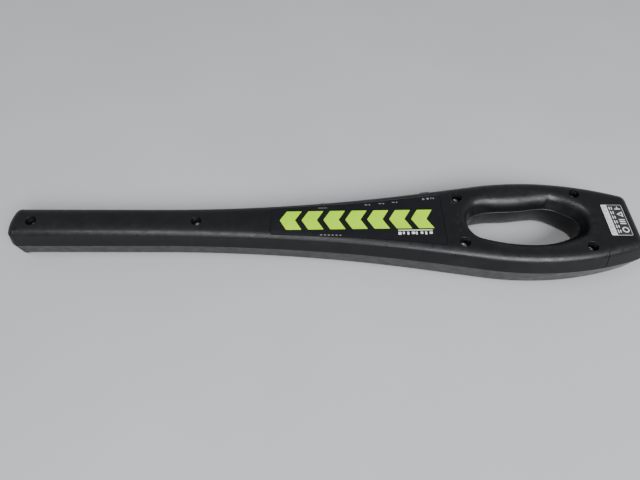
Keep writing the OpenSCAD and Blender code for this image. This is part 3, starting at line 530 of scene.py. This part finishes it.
def label_outline(grow=0.0, corner=2.4):
    x0, x1 = label_x0 - grow, label_x1 + grow
    bend = corner * (1 - np.cos(np.linspace(0, math.pi / 2, 9)))
    xs = np.concatenate([x0 + bend, np.linspace(x0 + corner, x1 - corner, 60)[1:-1], (x1 - bend)[::-1]])
    depth = np.minimum(xs - x0, x1 - xs)
    bend_y = corner - np.sqrt(np.maximum(corner ** 2 - (corner - depth) ** 2, 0))
    cut = np.where(depth < corner, bend_y, 0)
    half = label_half(xs, grow) - cut
    return np.concatenate([np.stack([xs, -half], 1), np.stack([xs, half], 1)[::-1]])


def on_face(outline, dz):
    return np.column_stack([outline, face_z(outline[:, 0], outline[:, 1]) + dz])


def skin(name, outline, dz, prints=(), spacing=2.5):
    """A sheet that follows the crowned face inside outline; faces under a print get its slot."""
    lo, hi = outline.min(0), outline.max(0)
    gx, gy = np.meshgrid(np.arange(lo[0] + spacing, hi[0], spacing),
                         np.arange(lo[1] + spacing / 2, hi[1], spacing))
    dots = np.column_stack([gx.ravel(), gy.ravel()])
    loops = [outline] + [p for p, _ in prints]
    dots = [d for d in dots if inside(d, outline) and
            min(np.min(np.hypot(*(loop - d).T)) for loop in loops) > spacing * 0.25]
    points, edges = list(map(tuple, dots)), []
    for loop in loops:
        first = len(points)
        points += list(map(tuple, loop))
        edges += [(first + k, first + (k + 1) % len(loop)) for k in range(len(loop))]
    flat, _, faces, *_ = delaunay_2d_cdt([Vector(p) for p in points], edges, [], 0, 1e-5)
    flat = np.array([tuple(p) for p in flat])
    keep, inks = [], []
    for f in faces:
        middle = flat[list(f)].mean(0)
        if inside(middle, outline):
            keep.append(f)
            inks.append(next((ink for loop, ink in prints if inside(middle, loop)), 0))
    piece = new_piece(name, on_face(flat, dz), keep)
    piece.data.polygons.foreach_set("material_index", inks)
    return piece


def inside(point, loop):
    x, y = point
    ax, ay = loop[:, 0], loop[:, 1]
    bx, by = np.roll(ax, -1), np.roll(ay, -1)
    cross = (ay > y) != (by > y)
    with np.errstate(divide="ignore", invalid="ignore"):
        at = ax + (y - ay) * (bx - ax) / (by - ay)
    return bool(np.count_nonzero(cross & (x < at)) % 2)


def thicken(piece, depth):
    """Gives a sheet sides and a back, straight down."""
    bm = bmesh.new()
    bm.from_mesh(piece.data)
    rim = [e for e in bm.edges if len(e.link_faces) == 1]
    made = bmesh.ops.extrude_edge_only(bm, edges=rim)["geom"]
    low = [v for v in made if isinstance(v, bmesh.types.BMVert)]
    for v in low:
        v.co.z -= depth * MM
    bmesh.ops.holes_fill(bm, edges=[e for e in bm.edges if len(e.link_faces) == 1], sides=0)
    bmesh.ops.recalc_face_normals(bm, faces=bm.faces)
    bm.to_mesh(piece.data)
    bm.free()
    return piece


def bed_tool(name, outline_at, depth, ease_by=0.12):
    return stitched(name, [on_face(outline_at(0), -depth), on_face(outline_at(0), -ease_by),
                           on_face(outline_at(ease_by), 0.01), on_face(outline_at(ease_by), 2)])


def stitched(name, loops):
    """Closed solid through loops whose two long sides run opposite ways: ladder caps."""
    count = len(loops[0])
    points = np.vstack(loops)
    faces = []
    for k in range(len(loops) - 1):
        for j in range(count):
            q = (j + 1) % count
            faces.append((k * count + j, k * count + q, (k + 1) * count + q, (k + 1) * count + j))
    last = (len(loops) - 1) * count
    half = count // 2
    extra = list(points)
    for first in (0, last):
        columns = []
        for i in range(half):
            a, b = extra[first + i], extra[first + count - 1 - i]
            column = [first + i]
            for s in np.linspace(0, 1, 9)[1:-1]:
                x, y = a[0], a[1] + (b[1] - a[1]) * s
                column.append(len(extra))
                extra.append((x, y, float(face_z(x, y)) + a[2] - float(face_z(a[0], a[1]))))
            columns.append(column + [first + count - 1 - i])
        for i in range(half - 1):
            for j in range(8):
                faces.append((columns[i][j], columns[i + 1][j], columns[i + 1][j + 1], columns[i][j + 1]))
        # the first and last columns close the ends between the two long sides
        faces += [tuple(columns[0]), tuple(columns[half - 1])]
    return facing_out(new_piece(name, extra, faces))


# %% [markdown]
# ## Plastic, metal and print
#
# A finish is a small node graph on a Principled shader. Object coordinates keep the pattern fixed
# to the piece when it moves, because no piece here has a UV map. One fine noise gives the
# grain of the mould through a bump, one coarse noise mottles the colour, and one varies the
# roughness, which is what makes plastic look handled and not computed.

# %% A maker of finishes
def add(tree, kind, props=None, **sockets):
    node = tree.nodes.new("ShaderNode" + kind)
    for key, value in (props or {}).items():
        setattr(node, key, value)
    for key, value in sockets.items():
        socket = node.inputs[int(key[1:]) if key[0] == "i" and key[1:].isdigit() else key.replace("_", " ")]
        if isinstance(value, bpy.types.NodeSocket):
            tree.links.new(value, socket)
        else:
            socket.default_value = value
    return node


def noise(tree, place, size_mm, detail=3.0, rough=0.55):
    return add(tree, "TexNoise", Vector=place, Scale=1 / (size_mm * MM), Detail=detail,
               Roughness=rough).outputs["Fac"]


def ranged(tree, value, low, high, to_low, to_high):
    return add(tree, "MapRange", i0=value, i1=low, i2=high, i3=to_low, i4=to_high).outputs["Result"]


def sum_of(tree, a, b, how="ADD"):
    return add(tree, "Math", {"operation": how}, i0=a, i1=b).outputs[0]


def mixed(tree, share, a, b):
    node = add(tree, "Mix", {"data_type": "RGBA"})
    for socket, value in ((node.inputs[0], share), (node.inputs[6], a), (node.inputs[7], b)):
        if isinstance(value, bpy.types.NodeSocket):
            tree.links.new(value, socket)
        else:
            socket.default_value = (*value, 1) if isinstance(value, tuple) and len(value) == 3 else value
    return node.outputs[2]


def finish(name, colour, rough, metal=0.0, mottle=0.12, patch_mm=9.0, grain_mm=0.5, grain=0.25,
           spec=0.5, spread_rough=0.08, extra=None, coat=0.0):
    """A finish with grain, mottled colour and uneven roughness. extra may repaint the colour."""
    material = bpy.data.materials.new(name)
    material.use_nodes = True
    tree = material.node_tree
    shader = tree.nodes["Principled BSDF"]
    place = tree.nodes.new("ShaderNodeTexCoord").outputs["Object"]
    patches = noise(tree, place, patch_mm)
    dark = tuple(c * (1 - mottle) for c in colour)
    light = tuple(min(1, c * (1 + mottle)) for c in colour)
    paint = mixed(tree, ranged(tree, patches, 0.3, 0.7, 0, 1), dark, light)
    height = noise(tree, place, grain_mm, 2.0)
    dullness = ranged(tree, noise(tree, place, patch_mm * 0.4, 4), 0.3, 0.7, rough - spread_rough,
                      rough + spread_rough)
    if extra:
        paint, height, dullness = extra(tree, place, paint, height, dullness)
    tree.links.new(paint, shader.inputs["Base Color"])
    tree.links.new(dullness, shader.inputs["Roughness"])
    bump = add(tree, "Bump", Height=height, Strength=grain, Distance=0.15 * MM)
    tree.links.new(bump.outputs[0], shader.inputs["Normal"])
    shader.inputs["Metallic"].default_value = metal
    shader.inputs["Specular IOR Level"].default_value = spec
    shader.inputs["Coat Weight"].default_value = coat
    material.diffuse_color = (*colour, 1)
    return material


def dress(piece, *materials):
    inks = [face.material_index for face in piece.data.polygons]
    piece.data.materials.clear()
    for material in materials:
        piece.data.materials.append(material)
    if len(materials) > 1:
        piece.data.polygons.foreach_set("material_index", inks)


def smoothed(piece, angle=32):
    piece.data.shade_smooth()
    piece.data.set_sharp_from_angle(angle=math.radians(angle))
    level = piece.modifiers.new("even shading", "WEIGHTED_NORMAL")
    level.keep_sharp, level.weight = True, 60
    return piece


# %% [markdown]
# ## The case's own plastic
#
# The case is black impact plastic with a fine spark texture. Handling polishes the rounded
# edges, so they are a little smoother and paler than the faces. That is painted here by a
# value stored on each point of the mesh, which travels with the model. Between the label and
# the opening there are a few short scuffs, and pale dust settles in the texture.

# %% Black moulded plastic
def handled(tree, place, paint, height, dullness):
    worn = add(tree, "Attribute", {"attribute_name": "worn"}).outputs["Fac"]
    patchy = sum_of(tree, worn, ranged(tree, noise(tree, place, 5, 5), 0.35, 0.7, 0.2, 1.0), "MULTIPLY")
    paint = mixed(tree, patchy, paint, (0.016, 0.0165, 0.018))
    dust = ranged(tree, noise(tree, place, 1.1, 6, 0.7), 0.62, 0.78, 0, 0.35)
    paint = mixed(tree, dust, paint, (0.030, 0.030, 0.031))
    across = add(tree, "SeparateXYZ", Vector=place).outputs["X"]
    strip = sum_of(tree, ranged(tree, across, 0.0985, 0.1005, 0, 1),
                   ranged(tree, across, 0.1035, 0.1055, 1, 0), "MULTIPLY")
    streaks = noise(tree, add(tree, "Mapping", Vector=place, Scale=(1.0, 0.22, 1.0)).outputs[0], 0.9, 4)
    scuffs = sum_of(tree, strip, ranged(tree, streaks, 0.60, 0.68, 0, 0.6), "MULTIPLY")
    paint = mixed(tree, scuffs, paint, (0.075, 0.075, 0.076))
    dullness = sum_of(tree, dullness, sum_of(tree, patchy, 0.10, "MULTIPLY"), "SUBTRACT")
    return paint, height, dullness


black_case = finish("black_case", (0.0060, 0.0062, 0.0068), 0.36, grain_mm=0.8, grain=0.45,
                    spec=0.30, mottle=0.2, patch_mm=14, extra=handled)


def mark_wear(piece):
    """Stores how exposed each point is to the hand: rounded edges most, flat faces least."""
    points = np.zeros(len(piece.data.vertices) * 3)
    piece.data.vertices.foreach_get("co", points)
    x, y, z = (points.reshape(-1, 3) / MM).T
    top = edge_z(x) - z
    from_wall = half_w(np.clip(x, -half_len, half_len)) - np.abs(y)
    crest = np.exp(-((from_wall - face_in(x) + 0.4 * shoulder_r(x)) / 2.4) ** 2) * (top < 6)
    hole = np.hypot((x - hole_x) / 48, y / 27) - 1
    rim = np.exp(-(hole / 0.10) ** 2) * np.exp(-((top - 0.8) / 2.2) ** 2)
    worn = np.clip(crest + rim, 0, 1)
    layer = piece.data.attributes.new("worn", "FLOAT", "POINT")
    layer.data.foreach_set("value", worn.astype(np.float32))


# %% [markdown]
# ## Moulding the rear half
#
# The blank is hollowed, then the opening, the label's bed and the wells are cut, and the bores
# and the slot of the controls. Tubes for the wells are joined on before they are bored, so each
# well keeps a wall of its own inside the case.

# %% Rear half
SEAM_W, SEAM_DEEP = 0.5, 0.45   # the line of the door's seam goes on as a groove in the rear half
rear = rear_blank("rear_moulding")
carve(rear, carve(rear_blank("hollow", WALL), opening_tool("rim", WALL)))
carve(rear, opening_tool("opening"))
carve(rear, bed_tool("bed", lambda grow: label_outline(0.3 + grow), 0.6))
for x, y in screws:
    low, high = float(part_z(x)) + 0.01, float(edge_z(x)) - WALL / 2
    carve(rear, turned("tube", [(0.01, low), (5.1, low), (5.1, high), (0.01, high)], (x, y, 0)), "UNION")
for x, y in screws:
    carve(rear, well_tool(x, y))
    carve(rear, turned("bore", [(0.01, 0), (1.65, 0), (1.65, 34), (0.01, 34)], (x, y, 0), steps=24))
for name, x, r in [("lens_bore", x, 1.73) for x in lens_x] + [("button_bore", button_x, 2.95)]:
    profile = [(0.01, -6), (r, -6), (r, 6), (0.01, 6)]
    carve(rear, turned(name, profile, (x, wall_y(x), side_z), "Y"))
carve(rear, mode_slot())
seam = block("seam", (door_x - SEAM_W / 2, -60, float(part_z(door_x)) - 1),
             (door_x + SEAM_W / 2, 60, float(edge_z(door_x)) - 0.8))
carve(rear, carve(seam, rear_blank("inside_seam", SEAM_DEEP)))
mark_wear(rear)
dress(rear, black_case)
smoothed(rear)
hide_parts("rear_shell")
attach(rear, "case")
print("rear half:", len(rear.data.polygons), "faces")

# %% [markdown]
# ## Moulding the front half and the battery door
#
# The front half is made the same way. The base end of it is a separate cap, the battery door,
# so one skin is made twice: once cut off at the seam, and once kept only beyond it. Two tongues
# guide the door inside the walls.

# %% Front half
def front_skin(name):
    skin_piece = front_blank(name)
    carve(skin_piece, carve(front_blank("hollow", WALL), opening_tool("rim", WALL)))
    return carve(skin_piece, opening_tool("opening"))


front = front_skin("front_moulding")
carve(front, block("beyond_seam", (door_x - 0.3, -60, -1), (door_x + 60, 60, 40)))
for k in range(-3, 4):
    reach = math.sqrt(11.5 ** 2 - (k * 3.6) ** 2) + 0.5
    turn = np.linspace(0, 2 * math.pi, 24, endpoint=False)
    slot = np.stack([0.8 * np.cos(turn), 0.8 * np.sin(turn) + reach * np.sign(np.sin(turn) + 1e-9)], 1)
    slot += (speaker_x + k * 3.6, 0)
    carve(front, looped("sound_slot", [np.column_stack([slot, np.full(24, z)]) for z in (-1, WALL + 1)]))
for x, y in screws:
    top = float(part_z(x)) - 0.01
    post = [(0.01, 0.9), (4.3, 0.9), (4.3, top), (0.01, top)]
    carve(front, turned("post", post, (x, y, 0), steps=32), "UNION")
    deep = float(part_z(x)) + WELL_FLOOR - 13
    pilot = [(0.01, deep), (1.49, deep), (1.49, 40), (0.01, 40)]
    carve(front, turned("pilot", pilot, (x, y, 0), steps=20))
mark_wear(front)
dress(front, black_case)
smoothed(front)
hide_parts("front_shell")
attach(front, "case")
print("front half:", len(front.data.polygons), "faces")

# %% Battery door
TONGUE_Z = (9.5, 14.5)
door = front_skin("door_moulding")
carve(door, block("base_end", (door_x, -60, -1), (door_x + 60, 60, 40)), "INTERSECT")


def tongue_y(x):
    lean = front_lean(x) * (part_z(x) - TONGUE_Z[0]) / (part_z(x) - FRONT_R)
    return float(half_w(door_x + 5) - WALL - 0.3 - lean)


for s in (1, -1):
    root_y, end_y = tongue_y(door_x + 3), tongue_y(door_x - 5.5)
    plan = [(door_x + 5, root_y - 1.8), (door_x + 5, root_y + 0.9), (door_x - 4.9, end_y - 0.6),
            (door_x - 5.5, end_y - 1.0), (door_x - 5.5, end_y - 1.5), (door_x - 4.9, end_y - 1.8)]
    loops = [np.array([(x, s * y, z) for x, y in plan]) for z in TONGUE_Z]
    carve(door, looped("tongue", loops), "UNION")
mark_wear(door)
dress(door, black_case)
smoothed(door)
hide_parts("battery_door")
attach(door, "battery_cover")
print("battery door:", len(door.data.polygons), "faces")

# %% [markdown]
# ## The printed label
#
# The label is a separate dark overlay, printed from above. The print is plain: a row of lime
# chevrons that point to the sensing end, a white bar with ticks, and small grey marks beside
# each control. The shapes are loops cut into the mesh of the label itself, so each keeps a
# crisp edge at any distance, and each area takes its ink as a material.

# %% Shapes for printing
def rounded(corners, r=0.5, steps=4):
    """Closed outline through corners with each corner rounded off."""
    out, count = [], len(corners)
    for k in range(count):
        a, b, c = (np.array(corners[(k + d) % count], float) for d in (-1, 0, 1))
        u, v = (a - b) / np.linalg.norm(a - b), (c - b) / np.linalg.norm(c - b)
        cut = min(r, np.linalg.norm(a - b) * 0.45, np.linalg.norm(c - b) * 0.45)
        for t in np.linspace(0, 1, steps):
            out.append((1 - t) ** 2 * (b + u * cut) + 2 * t * (1 - t) * b + t ** 2 * (b + v * cut))
    return np.array(out)


def disc(x, y, r, steps=20):
    turn = np.arange(steps) * 2 * math.pi / steps
    return np.stack([x + r * np.cos(turn), y + r * np.sin(turn)], 1)


def bar(x0, x1, y0, y1, lean=0.0, r=0.25):
    return rounded([(x0, y0), (x1, y0), (x1 + lean, y1), (x0 + lean, y1)], r)


LIME, WHITE, GREY = 1, 2, 3
prints = []
chevron_half, chevron_w, point = 8.6, 11.6, 5.2
for k in range(7):
    x = -34 + k * 16.8
    prints.append((rounded([(x, 0), (x + point, -chevron_half), (x + point + chevron_w, -chevron_half),
                            (x + chevron_w, 0), (x + point + chevron_w, chevron_half),
                            (x + point, chevron_half)], 0.5), LIME))
prints.append((bar(56, 82, -10.6, -9.9), WHITE))
for k, width in enumerate((2.2, 1.4, 1.4, 2.6, 1.0, 1.8, 1.4, 2.2)):
    x = 56 + k * 3.35
    prints.append((bar(x, x + width, -14.2 + 0.5 * (k % 2), -11.7), WHITE))
for k in range(6):
    prints.append((bar(-3.0 + k * 2.9, -1.4 + k * 2.9, -13.6 - 0.12 * k, -13.0 - 0.12 * k), GREY))


def beside(x, drop=2.6):
    return float(label_half(x)) - drop


for k, x in enumerate(lens_x):
    y = beside(x)
    prints += [(bar(x - 2.0, x + 0.2, y - 0.35, y + 0.35, r=0.15), GREY), (disc(x + 1.7, y, 0.6), GREY)]
for k in (-1, 0, 1):
    x, y = mode_x + 3.6 * k, beside(mode_x) + 0.4 * k
    prints += [(disc(x, y, 0.45), 0 if k < 0 else GREY), (disc(x, y, 0.95), GREY if k <= 0 else 0)]
    if k > 0:
        prints += [(bar(x - 1.3, x - 0.9, y - 1.0, y + 1.0, r=0.1), GREY),
                   (bar(x + 0.9, x + 1.3, y - 1.0, y + 1.0, r=0.1), GREY)]
x, y = button_x, beside(button_x, 2.4)
prints += [(bar(x - 3.6, x + 3.6, y - 0.2, y + 0.2, r=0.1), GREY)]
print("label prints:", len(prints))

# %% Inks and the label's film
label_film = finish("label_film", (0.0065, 0.0072, 0.0090), 0.42, spec=0.20, grain_mm=0.3,
                    grain=0.08, mottle=0.06, patch_mm=20)
lime_ink = finish("lime_ink", (0.39, 0.74, 0.0), 0.70, spec=0.06, grain_mm=0.25, grain=0.06,
                  mottle=0.05, patch_mm=12)
white_ink = finish("white_ink", (0.72, 0.73, 0.74), 0.45, grain_mm=0.25, grain=0.06, mottle=0.04)
grey_ink = finish("grey_ink", (0.20, 0.205, 0.21), 0.45, grain_mm=0.25, grain=0.06, mottle=0.10)

label = thicken(skin("label_overlay", label_outline(), -0.10, prints), 0.45)
dress(label, label_film, lime_ink, white_ink, grey_ink)
smoothed(label)
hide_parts("label_panel")
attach(label, "case")
print("label:", len(label.data.polygons), "faces")

# %% [markdown]
# ## The rating sticker
#
# A small paper label behind the opening: a pale strip along its front edge and a black field
# with white symbols. Real ones carry ratings. These symbols are plain figures, a ring, bars and
# a triangle, that say nothing.

# %% Sticker
sticker_lo, sticker_hi = (np.array(c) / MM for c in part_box("rating_sticker"))
x0, x1, y0, y1 = sticker_lo[0], sticker_hi[0], sticker_lo[1], sticker_hi[1]
STRIP, EDGE = 4.4, 0.25         # width of the pale strip, and the bare paper round the print
FIELD, FAINT, PALE = 1, 2, 3    # inks of the sticker; 0 is its bare paper
marks = []


def mark(from_x, to_x, from_y, to_y, ink, r=0.1):
    """A bar measured from the sticker's corner."""
    marks.append((bar(x0 + from_x, x0 + to_x, y0 + from_y, y0 + to_y, r=r), ink))


def figure(corners, r, ink):
    marks.append((rounded([(x0 + x, y0 + y) for x, y in corners], r), ink))


for k in range(7):
    y = 2.2 + k * 3.7
    mark(0.9, 1.4, y, y + 2.6, FAINT)
    mark(2.3, 2.8, y + 0.5, y + 2.2, FAINT)
for k in range(6):
    y = 2.0 + k * 4.3
    mark(5.6, 6.3, y, y + 3.1, PALE)
    mark(7.3, 8.0, y + 0.4, y + 2.9, PALE)
marks += [(disc(x0 + 12.0, y0 + 5.0, 1.7), FIELD), (disc(x0 + 12.0, y0 + 5.0, 2.5), PALE)]
for k in range(3):
    mark(9.8, 14.2, 10.2 + k * 1.8, 11.1 + k * 1.8, PALE, 0.15)
figure([(10.9, 19.4), (13.5, 18.1), (13.5, 20.7)], 0.2, FIELD)
figure([(9.6, 19.4), (14.3, 16.9), (14.3, 21.9)], 0.3, PALE)
mark(9.8, 14.2, 24.0, 24.8, PALE, 0.15)
mark(11.6, 12.4, 24.8, 26.6, PALE, 0.15)
far_x, far_y = x1 - x0 - EDGE, y1 - y0 - EDGE
figure([(EDGE, EDGE), (STRIP, EDGE), (STRIP, far_y), (EDGE, far_y)], 0.7, 0)
field_x = STRIP + 0.02
figure([(field_x, EDGE), (far_x, EDGE), (far_x, far_y), (field_x, far_y)], 0.5, FIELD)

paper = finish("sticker_paper", (0.56, 0.57, 0.58), 0.55, grain_mm=0.4, grain=0.1, mottle=0.06)
black_print = finish("sticker_black", (0.022, 0.022, 0.024), 0.38, grain_mm=0.4, grain=0.1, mottle=0.15)
faint_print = finish("sticker_grey", (0.25, 0.25, 0.26), 0.5, grain_mm=0.4, grain=0.1, mottle=0.15)
white_print = finish("sticker_white", (0.66, 0.67, 0.68), 0.5, grain_mm=0.4, grain=0.1, mottle=0.06)
outline = rounded([(x0, y0), (x1, y0), (x1, y1), (x0, y1)], 1.0, 8)
sticker = thicken(skin("sticker", outline, 0.13, marks), 0.12)
dress(sticker, paper, black_print, faint_print, white_print)
smoothed(sticker)
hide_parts("rating_sticker")
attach(sticker, "case")
print("sticker:", len(sticker.data.polygons), "faces")

# %% [markdown]
# ## Finishes for the pieces that keep their shape
#
# The screws, the controls and all that is inside the case keep the shape they have in the
# frame. What they need is a finish of their own: wound wire, tin, brass, green lacquer with
# copper paths under it, printed battery sleeve, foam.

# %% Metals, plastics and rubber
def brushed(axis, size_mm, stretch=14):
    def paint_it(tree, place, paint, height, dullness):
        scale = [1.0, 1.0, 1.0]
        scale[axis] = 1 / stretch
        lines = add(tree, "Mapping", Vector=place, Scale=tuple(scale)).outputs[0]
        fine = noise(tree, lines, size_mm, 4)
        return paint, fine, sum_of(tree, dullness, ranged(tree, fine, 0.3, 0.7, -0.06, 0.06))
    return paint_it


def wound(pitch_mm, axis="Z"):
    """Wires laid side by side: round ridges across the winding, with painted shade darkening the gaps
    between the wires.
    """
    def paint_it(tree, place, paint, height, dullness):
        wave = add(tree, "TexWave", {"wave_type": "BANDS", "bands_direction": axis}, Vector=place,
                   Scale=1 / (pitch_mm * MM) / 20 * math.pi, Distortion=0.4, Detail=2.0).outputs["Fac"]
        # painted shade: the gaps between the wires are coloured dark brown where shade falls between the
        # turns
        painted_gap_shade = ranged(tree, wave, 0.0, 0.35, 0.75, 0.0)
        return mixed(tree, painted_gap_shade, paint, (0.06, 0.025, 0.01)), wave, dullness
    return paint_it


def tracks(tree, place, paint, height, dullness):
    """Copper paths under green lacquer: the borders of square cells, two sizes over each other."""
    for cell_mm, width in ((3.1, 0.10), (7.3, 0.06)):
        cells = add(tree, "TexVoronoi", {"feature": "DISTANCE_TO_EDGE"}, Vector=place,
                    Scale=1 / (cell_mm * MM), Randomness=0.35)
        line = ranged(tree, cells.outputs["Distance"], width * 0.6, width, 1, 0)
        paint = mixed(tree, sum_of(tree, line, 0.55, "MULTIPLY"), paint, (0.055, 0.20, 0.075))
        height = sum_of(tree, height, line)
    return paint, height, dullness


steel = finish("screw_steel", (0.62, 0.62, 0.63), 0.30, metal=1, grain_mm=0.3, grain=0.2,
               mottle=0.12, extra=brushed(0, 0.12))
tinned = finish("tinned_steel", (0.58, 0.58, 0.57), 0.36, metal=1, grain_mm=0.4, mottle=0.15,
                extra=brushed(0, 0.2))
shield = finish("shield_foil", (0.66, 0.67, 0.68), 0.28, metal=1, grain_mm=0.8, mottle=0.08,
                extra=brushed(0, 0.25, 30))
brass = finish("brass", (0.70, 0.52, 0.22), 0.30, metal=1, grain_mm=0.3, mottle=0.15, patch_mm=4)
copper = finish("copper_winding", (0.62, 0.26, 0.11), 0.34, metal=0.8, grain_mm=0.3, grain=0.7,
                extra=wound(0.45), coat=0.4)
fine_copper = finish("fine_winding", (0.66, 0.36, 0.13), 0.34, metal=0.8, grain_mm=0.3, grain=0.7,
                     extra=wound(0.3), coat=0.4)
board = finish("green_board", (0.012, 0.085, 0.030), 0.32, grain_mm=0.6, grain=0.3, mottle=0.1,
               extra=tracks, coat=0.3)
chip = finish("chip_resin", (0.012, 0.012, 0.013), 0.62, grain_mm=0.25, grain=0.3, mottle=0.25,
              patch_mm=3)
sleeve = finish("capacitor_sleeve", (0.020, 0.035, 0.16), 0.30, grain_mm=0.6, grain=0.1, mottle=0.1)
dark_plastic = finish("dark_plastic", (0.030, 0.032, 0.036), 0.45, grain_mm=0.5, grain=0.3, mottle=0.15)
control_plastic = finish("control_plastic", (0.014, 0.0145, 0.016), 0.36, grain_mm=0.4, grain=0.25,
                         mottle=0.2)
ivory = finish("ivory_plastic", (0.70, 0.67, 0.58), 0.42, grain_mm=0.6, grain=0.2, mottle=0.06)
ferrite = finish("magnet_steel", (0.10, 0.105, 0.11), 0.42, metal=0.6, grain_mm=0.5, grain=0.3, mottle=0.2)
paper_cone = finish("paper_cone", (0.020, 0.019, 0.018), 0.85, grain_mm=0.35, grain=0.7,
                    mottle=0.25, patch_mm=2)
rubber = finish("gasket_foam", (0.030, 0.030, 0.032), 0.92, grain_mm=0.5, grain=0.8, mottle=0.3,
                patch_mm=2)
red_wire = finish("red_wire", (0.38, 0.022, 0.020), 0.42, grain_mm=0.7, grain=0.15, mottle=0.1)
white_wire = finish("white_wire", (0.66, 0.63, 0.55), 0.45, grain_mm=0.7, grain=0.15, mottle=0.08)


def lens_finish(name, colour):
    material = finish(name, colour, 0.12, grain_mm=0.8, grain=0.08, mottle=0.08, patch_mm=2,
                      spread_rough=0.03)
    shader = material.node_tree.nodes["Principled BSDF"]
    shader.inputs["Transmission Weight"].default_value = 0.35
    shader.inputs["IOR"].default_value = 1.5
    return material


def jacket(tree, place, paint, height, dullness):
    """Printed sleeve of the battery: a copper-coloured end and a thin pale line beside it."""
    along_y = add(tree, "SeparateXYZ", Vector=place).outputs["Y"]
    end = ranged(tree, along_y, 0.0080, 0.0083, 0, 1)
    line = sum_of(tree, ranged(tree, along_y, 0.0068, 0.0070, 0, 1),
                  ranged(tree, along_y, 0.0078, 0.0080, 0, 1), "SUBTRACT")
    paint = mixed(tree, end, paint, (0.48, 0.24, 0.10))
    return mixed(tree, line, paint, (0.6, 0.6, 0.6)), height, dullness


battery_skin = finish("battery_sleeve", (0.016, 0.018, 0.022), 0.26, metal=0.3, grain_mm=0.8,
                      grain=0.08, mottle=0.1, extra=jacket)
clear = lens_finish("clear_resin", (0.62, 0.66, 0.68))
finishes = {
    "case_screws": steel, "mode_knob": control_plastic, "mode_lever": ivory, "mode_switch_body": tinned,
    "push_button": control_plastic, "button_plunger": brass, "button_switch_body": dark_plastic,
    "lens_green": lens_finish("green_lens", (0.02, 0.34, 0.05)),
    "lens_amber": lens_finish("amber_lens", (0.70, 0.28, 0.01)),
    "lens_red": lens_finish("red_lens", (0.50, 0.012, 0.012)), "indicator_leds": clear,
    "main_board": board, "board_chips": chip, "board_capacitors": sleeve, "coil_plug": ivory,
    "speaker_basket": tinned, "speaker_magnet": ferrite, "speaker_cone": paper_cone,
    "speaker_gasket": rubber,
    "motor_can": tinned, "motor_weight": brass, "motor_cradle": dark_plastic, "coil_tray": dark_plastic,
    "transmit_coil": copper, "receive_coil_front": fine_copper, "receive_coil_back": fine_copper,
    "shield_plate": shield, "battery": battery_skin, "battery_contacts": brass, "battery_foam": rubber,
    "battery_leads": red_wire, "coil_leads": white_wire}
for name, material in finishes.items():
    dress(nodes[name], material)
print("finished", len(finishes), "pieces of the frame")

# %% [markdown]
# ## Table and light
#
# The wand lies on a pale laminate table. The light is that of a plain room: a bright window in
# front to the right that draws the soft highlight along the near shoulder, a weaker ceiling
# light over the paddle, and an even fill. The table's colour carries a very slight unevenness
# so that it reads as a surface.

# %% Table
HALF_TABLE = 1500.0             # millimetres
table = new_piece("table", [(x * HALF_TABLE, y * HALF_TABLE, -0.05)
                            for x, y in ((-1, -1), (1, -1), (1, 1), (-1, 1))], [(0, 1, 2, 3)])
dress(table, finish("pale_laminate", (0.44, 0.44, 0.45), 0.50, patch_mm=180, mottle=0.03,
                    grain_mm=1.2, grain=0.05, spec=0.4))


def softbox(name, place, aim, size_m, power, colour=(1, 1, 1)):
    lamp = bpy.data.lights.new(name, "AREA")
    lamp.shape, lamp.size, lamp.size_y = "RECTANGLE", size_m[0], size_m[1]
    lamp.energy, lamp.color = power, colour
    stand = bpy.data.objects.new(name, lamp)
    stand.location = place
    stand.rotation_euler = (Vector(aim) - Vector(place)).to_track_quat("-Z", "Y").to_euler()
    bpy.context.scene.collection.objects.link(stand)


softbox("window", (0.75, -1.25, 1.35), (0.05, 0, 0), (1.4, 0.8), 60, (0.98, 0.99, 1.0))
softbox("ceiling", (-0.48, -0.36, 1.55), (-0.05, 0, 0), (1.1, 0.45), 13)
room = bpy.data.worlds.new("room")
room.use_nodes = True
fill = room.node_tree.nodes["Background"]
fill.inputs["Color"].default_value = (0.80, 0.82, 0.85, 1)
fill.inputs["Strength"].default_value = 0.40
bpy.context.scene.world = room
print("lamps and fill set")
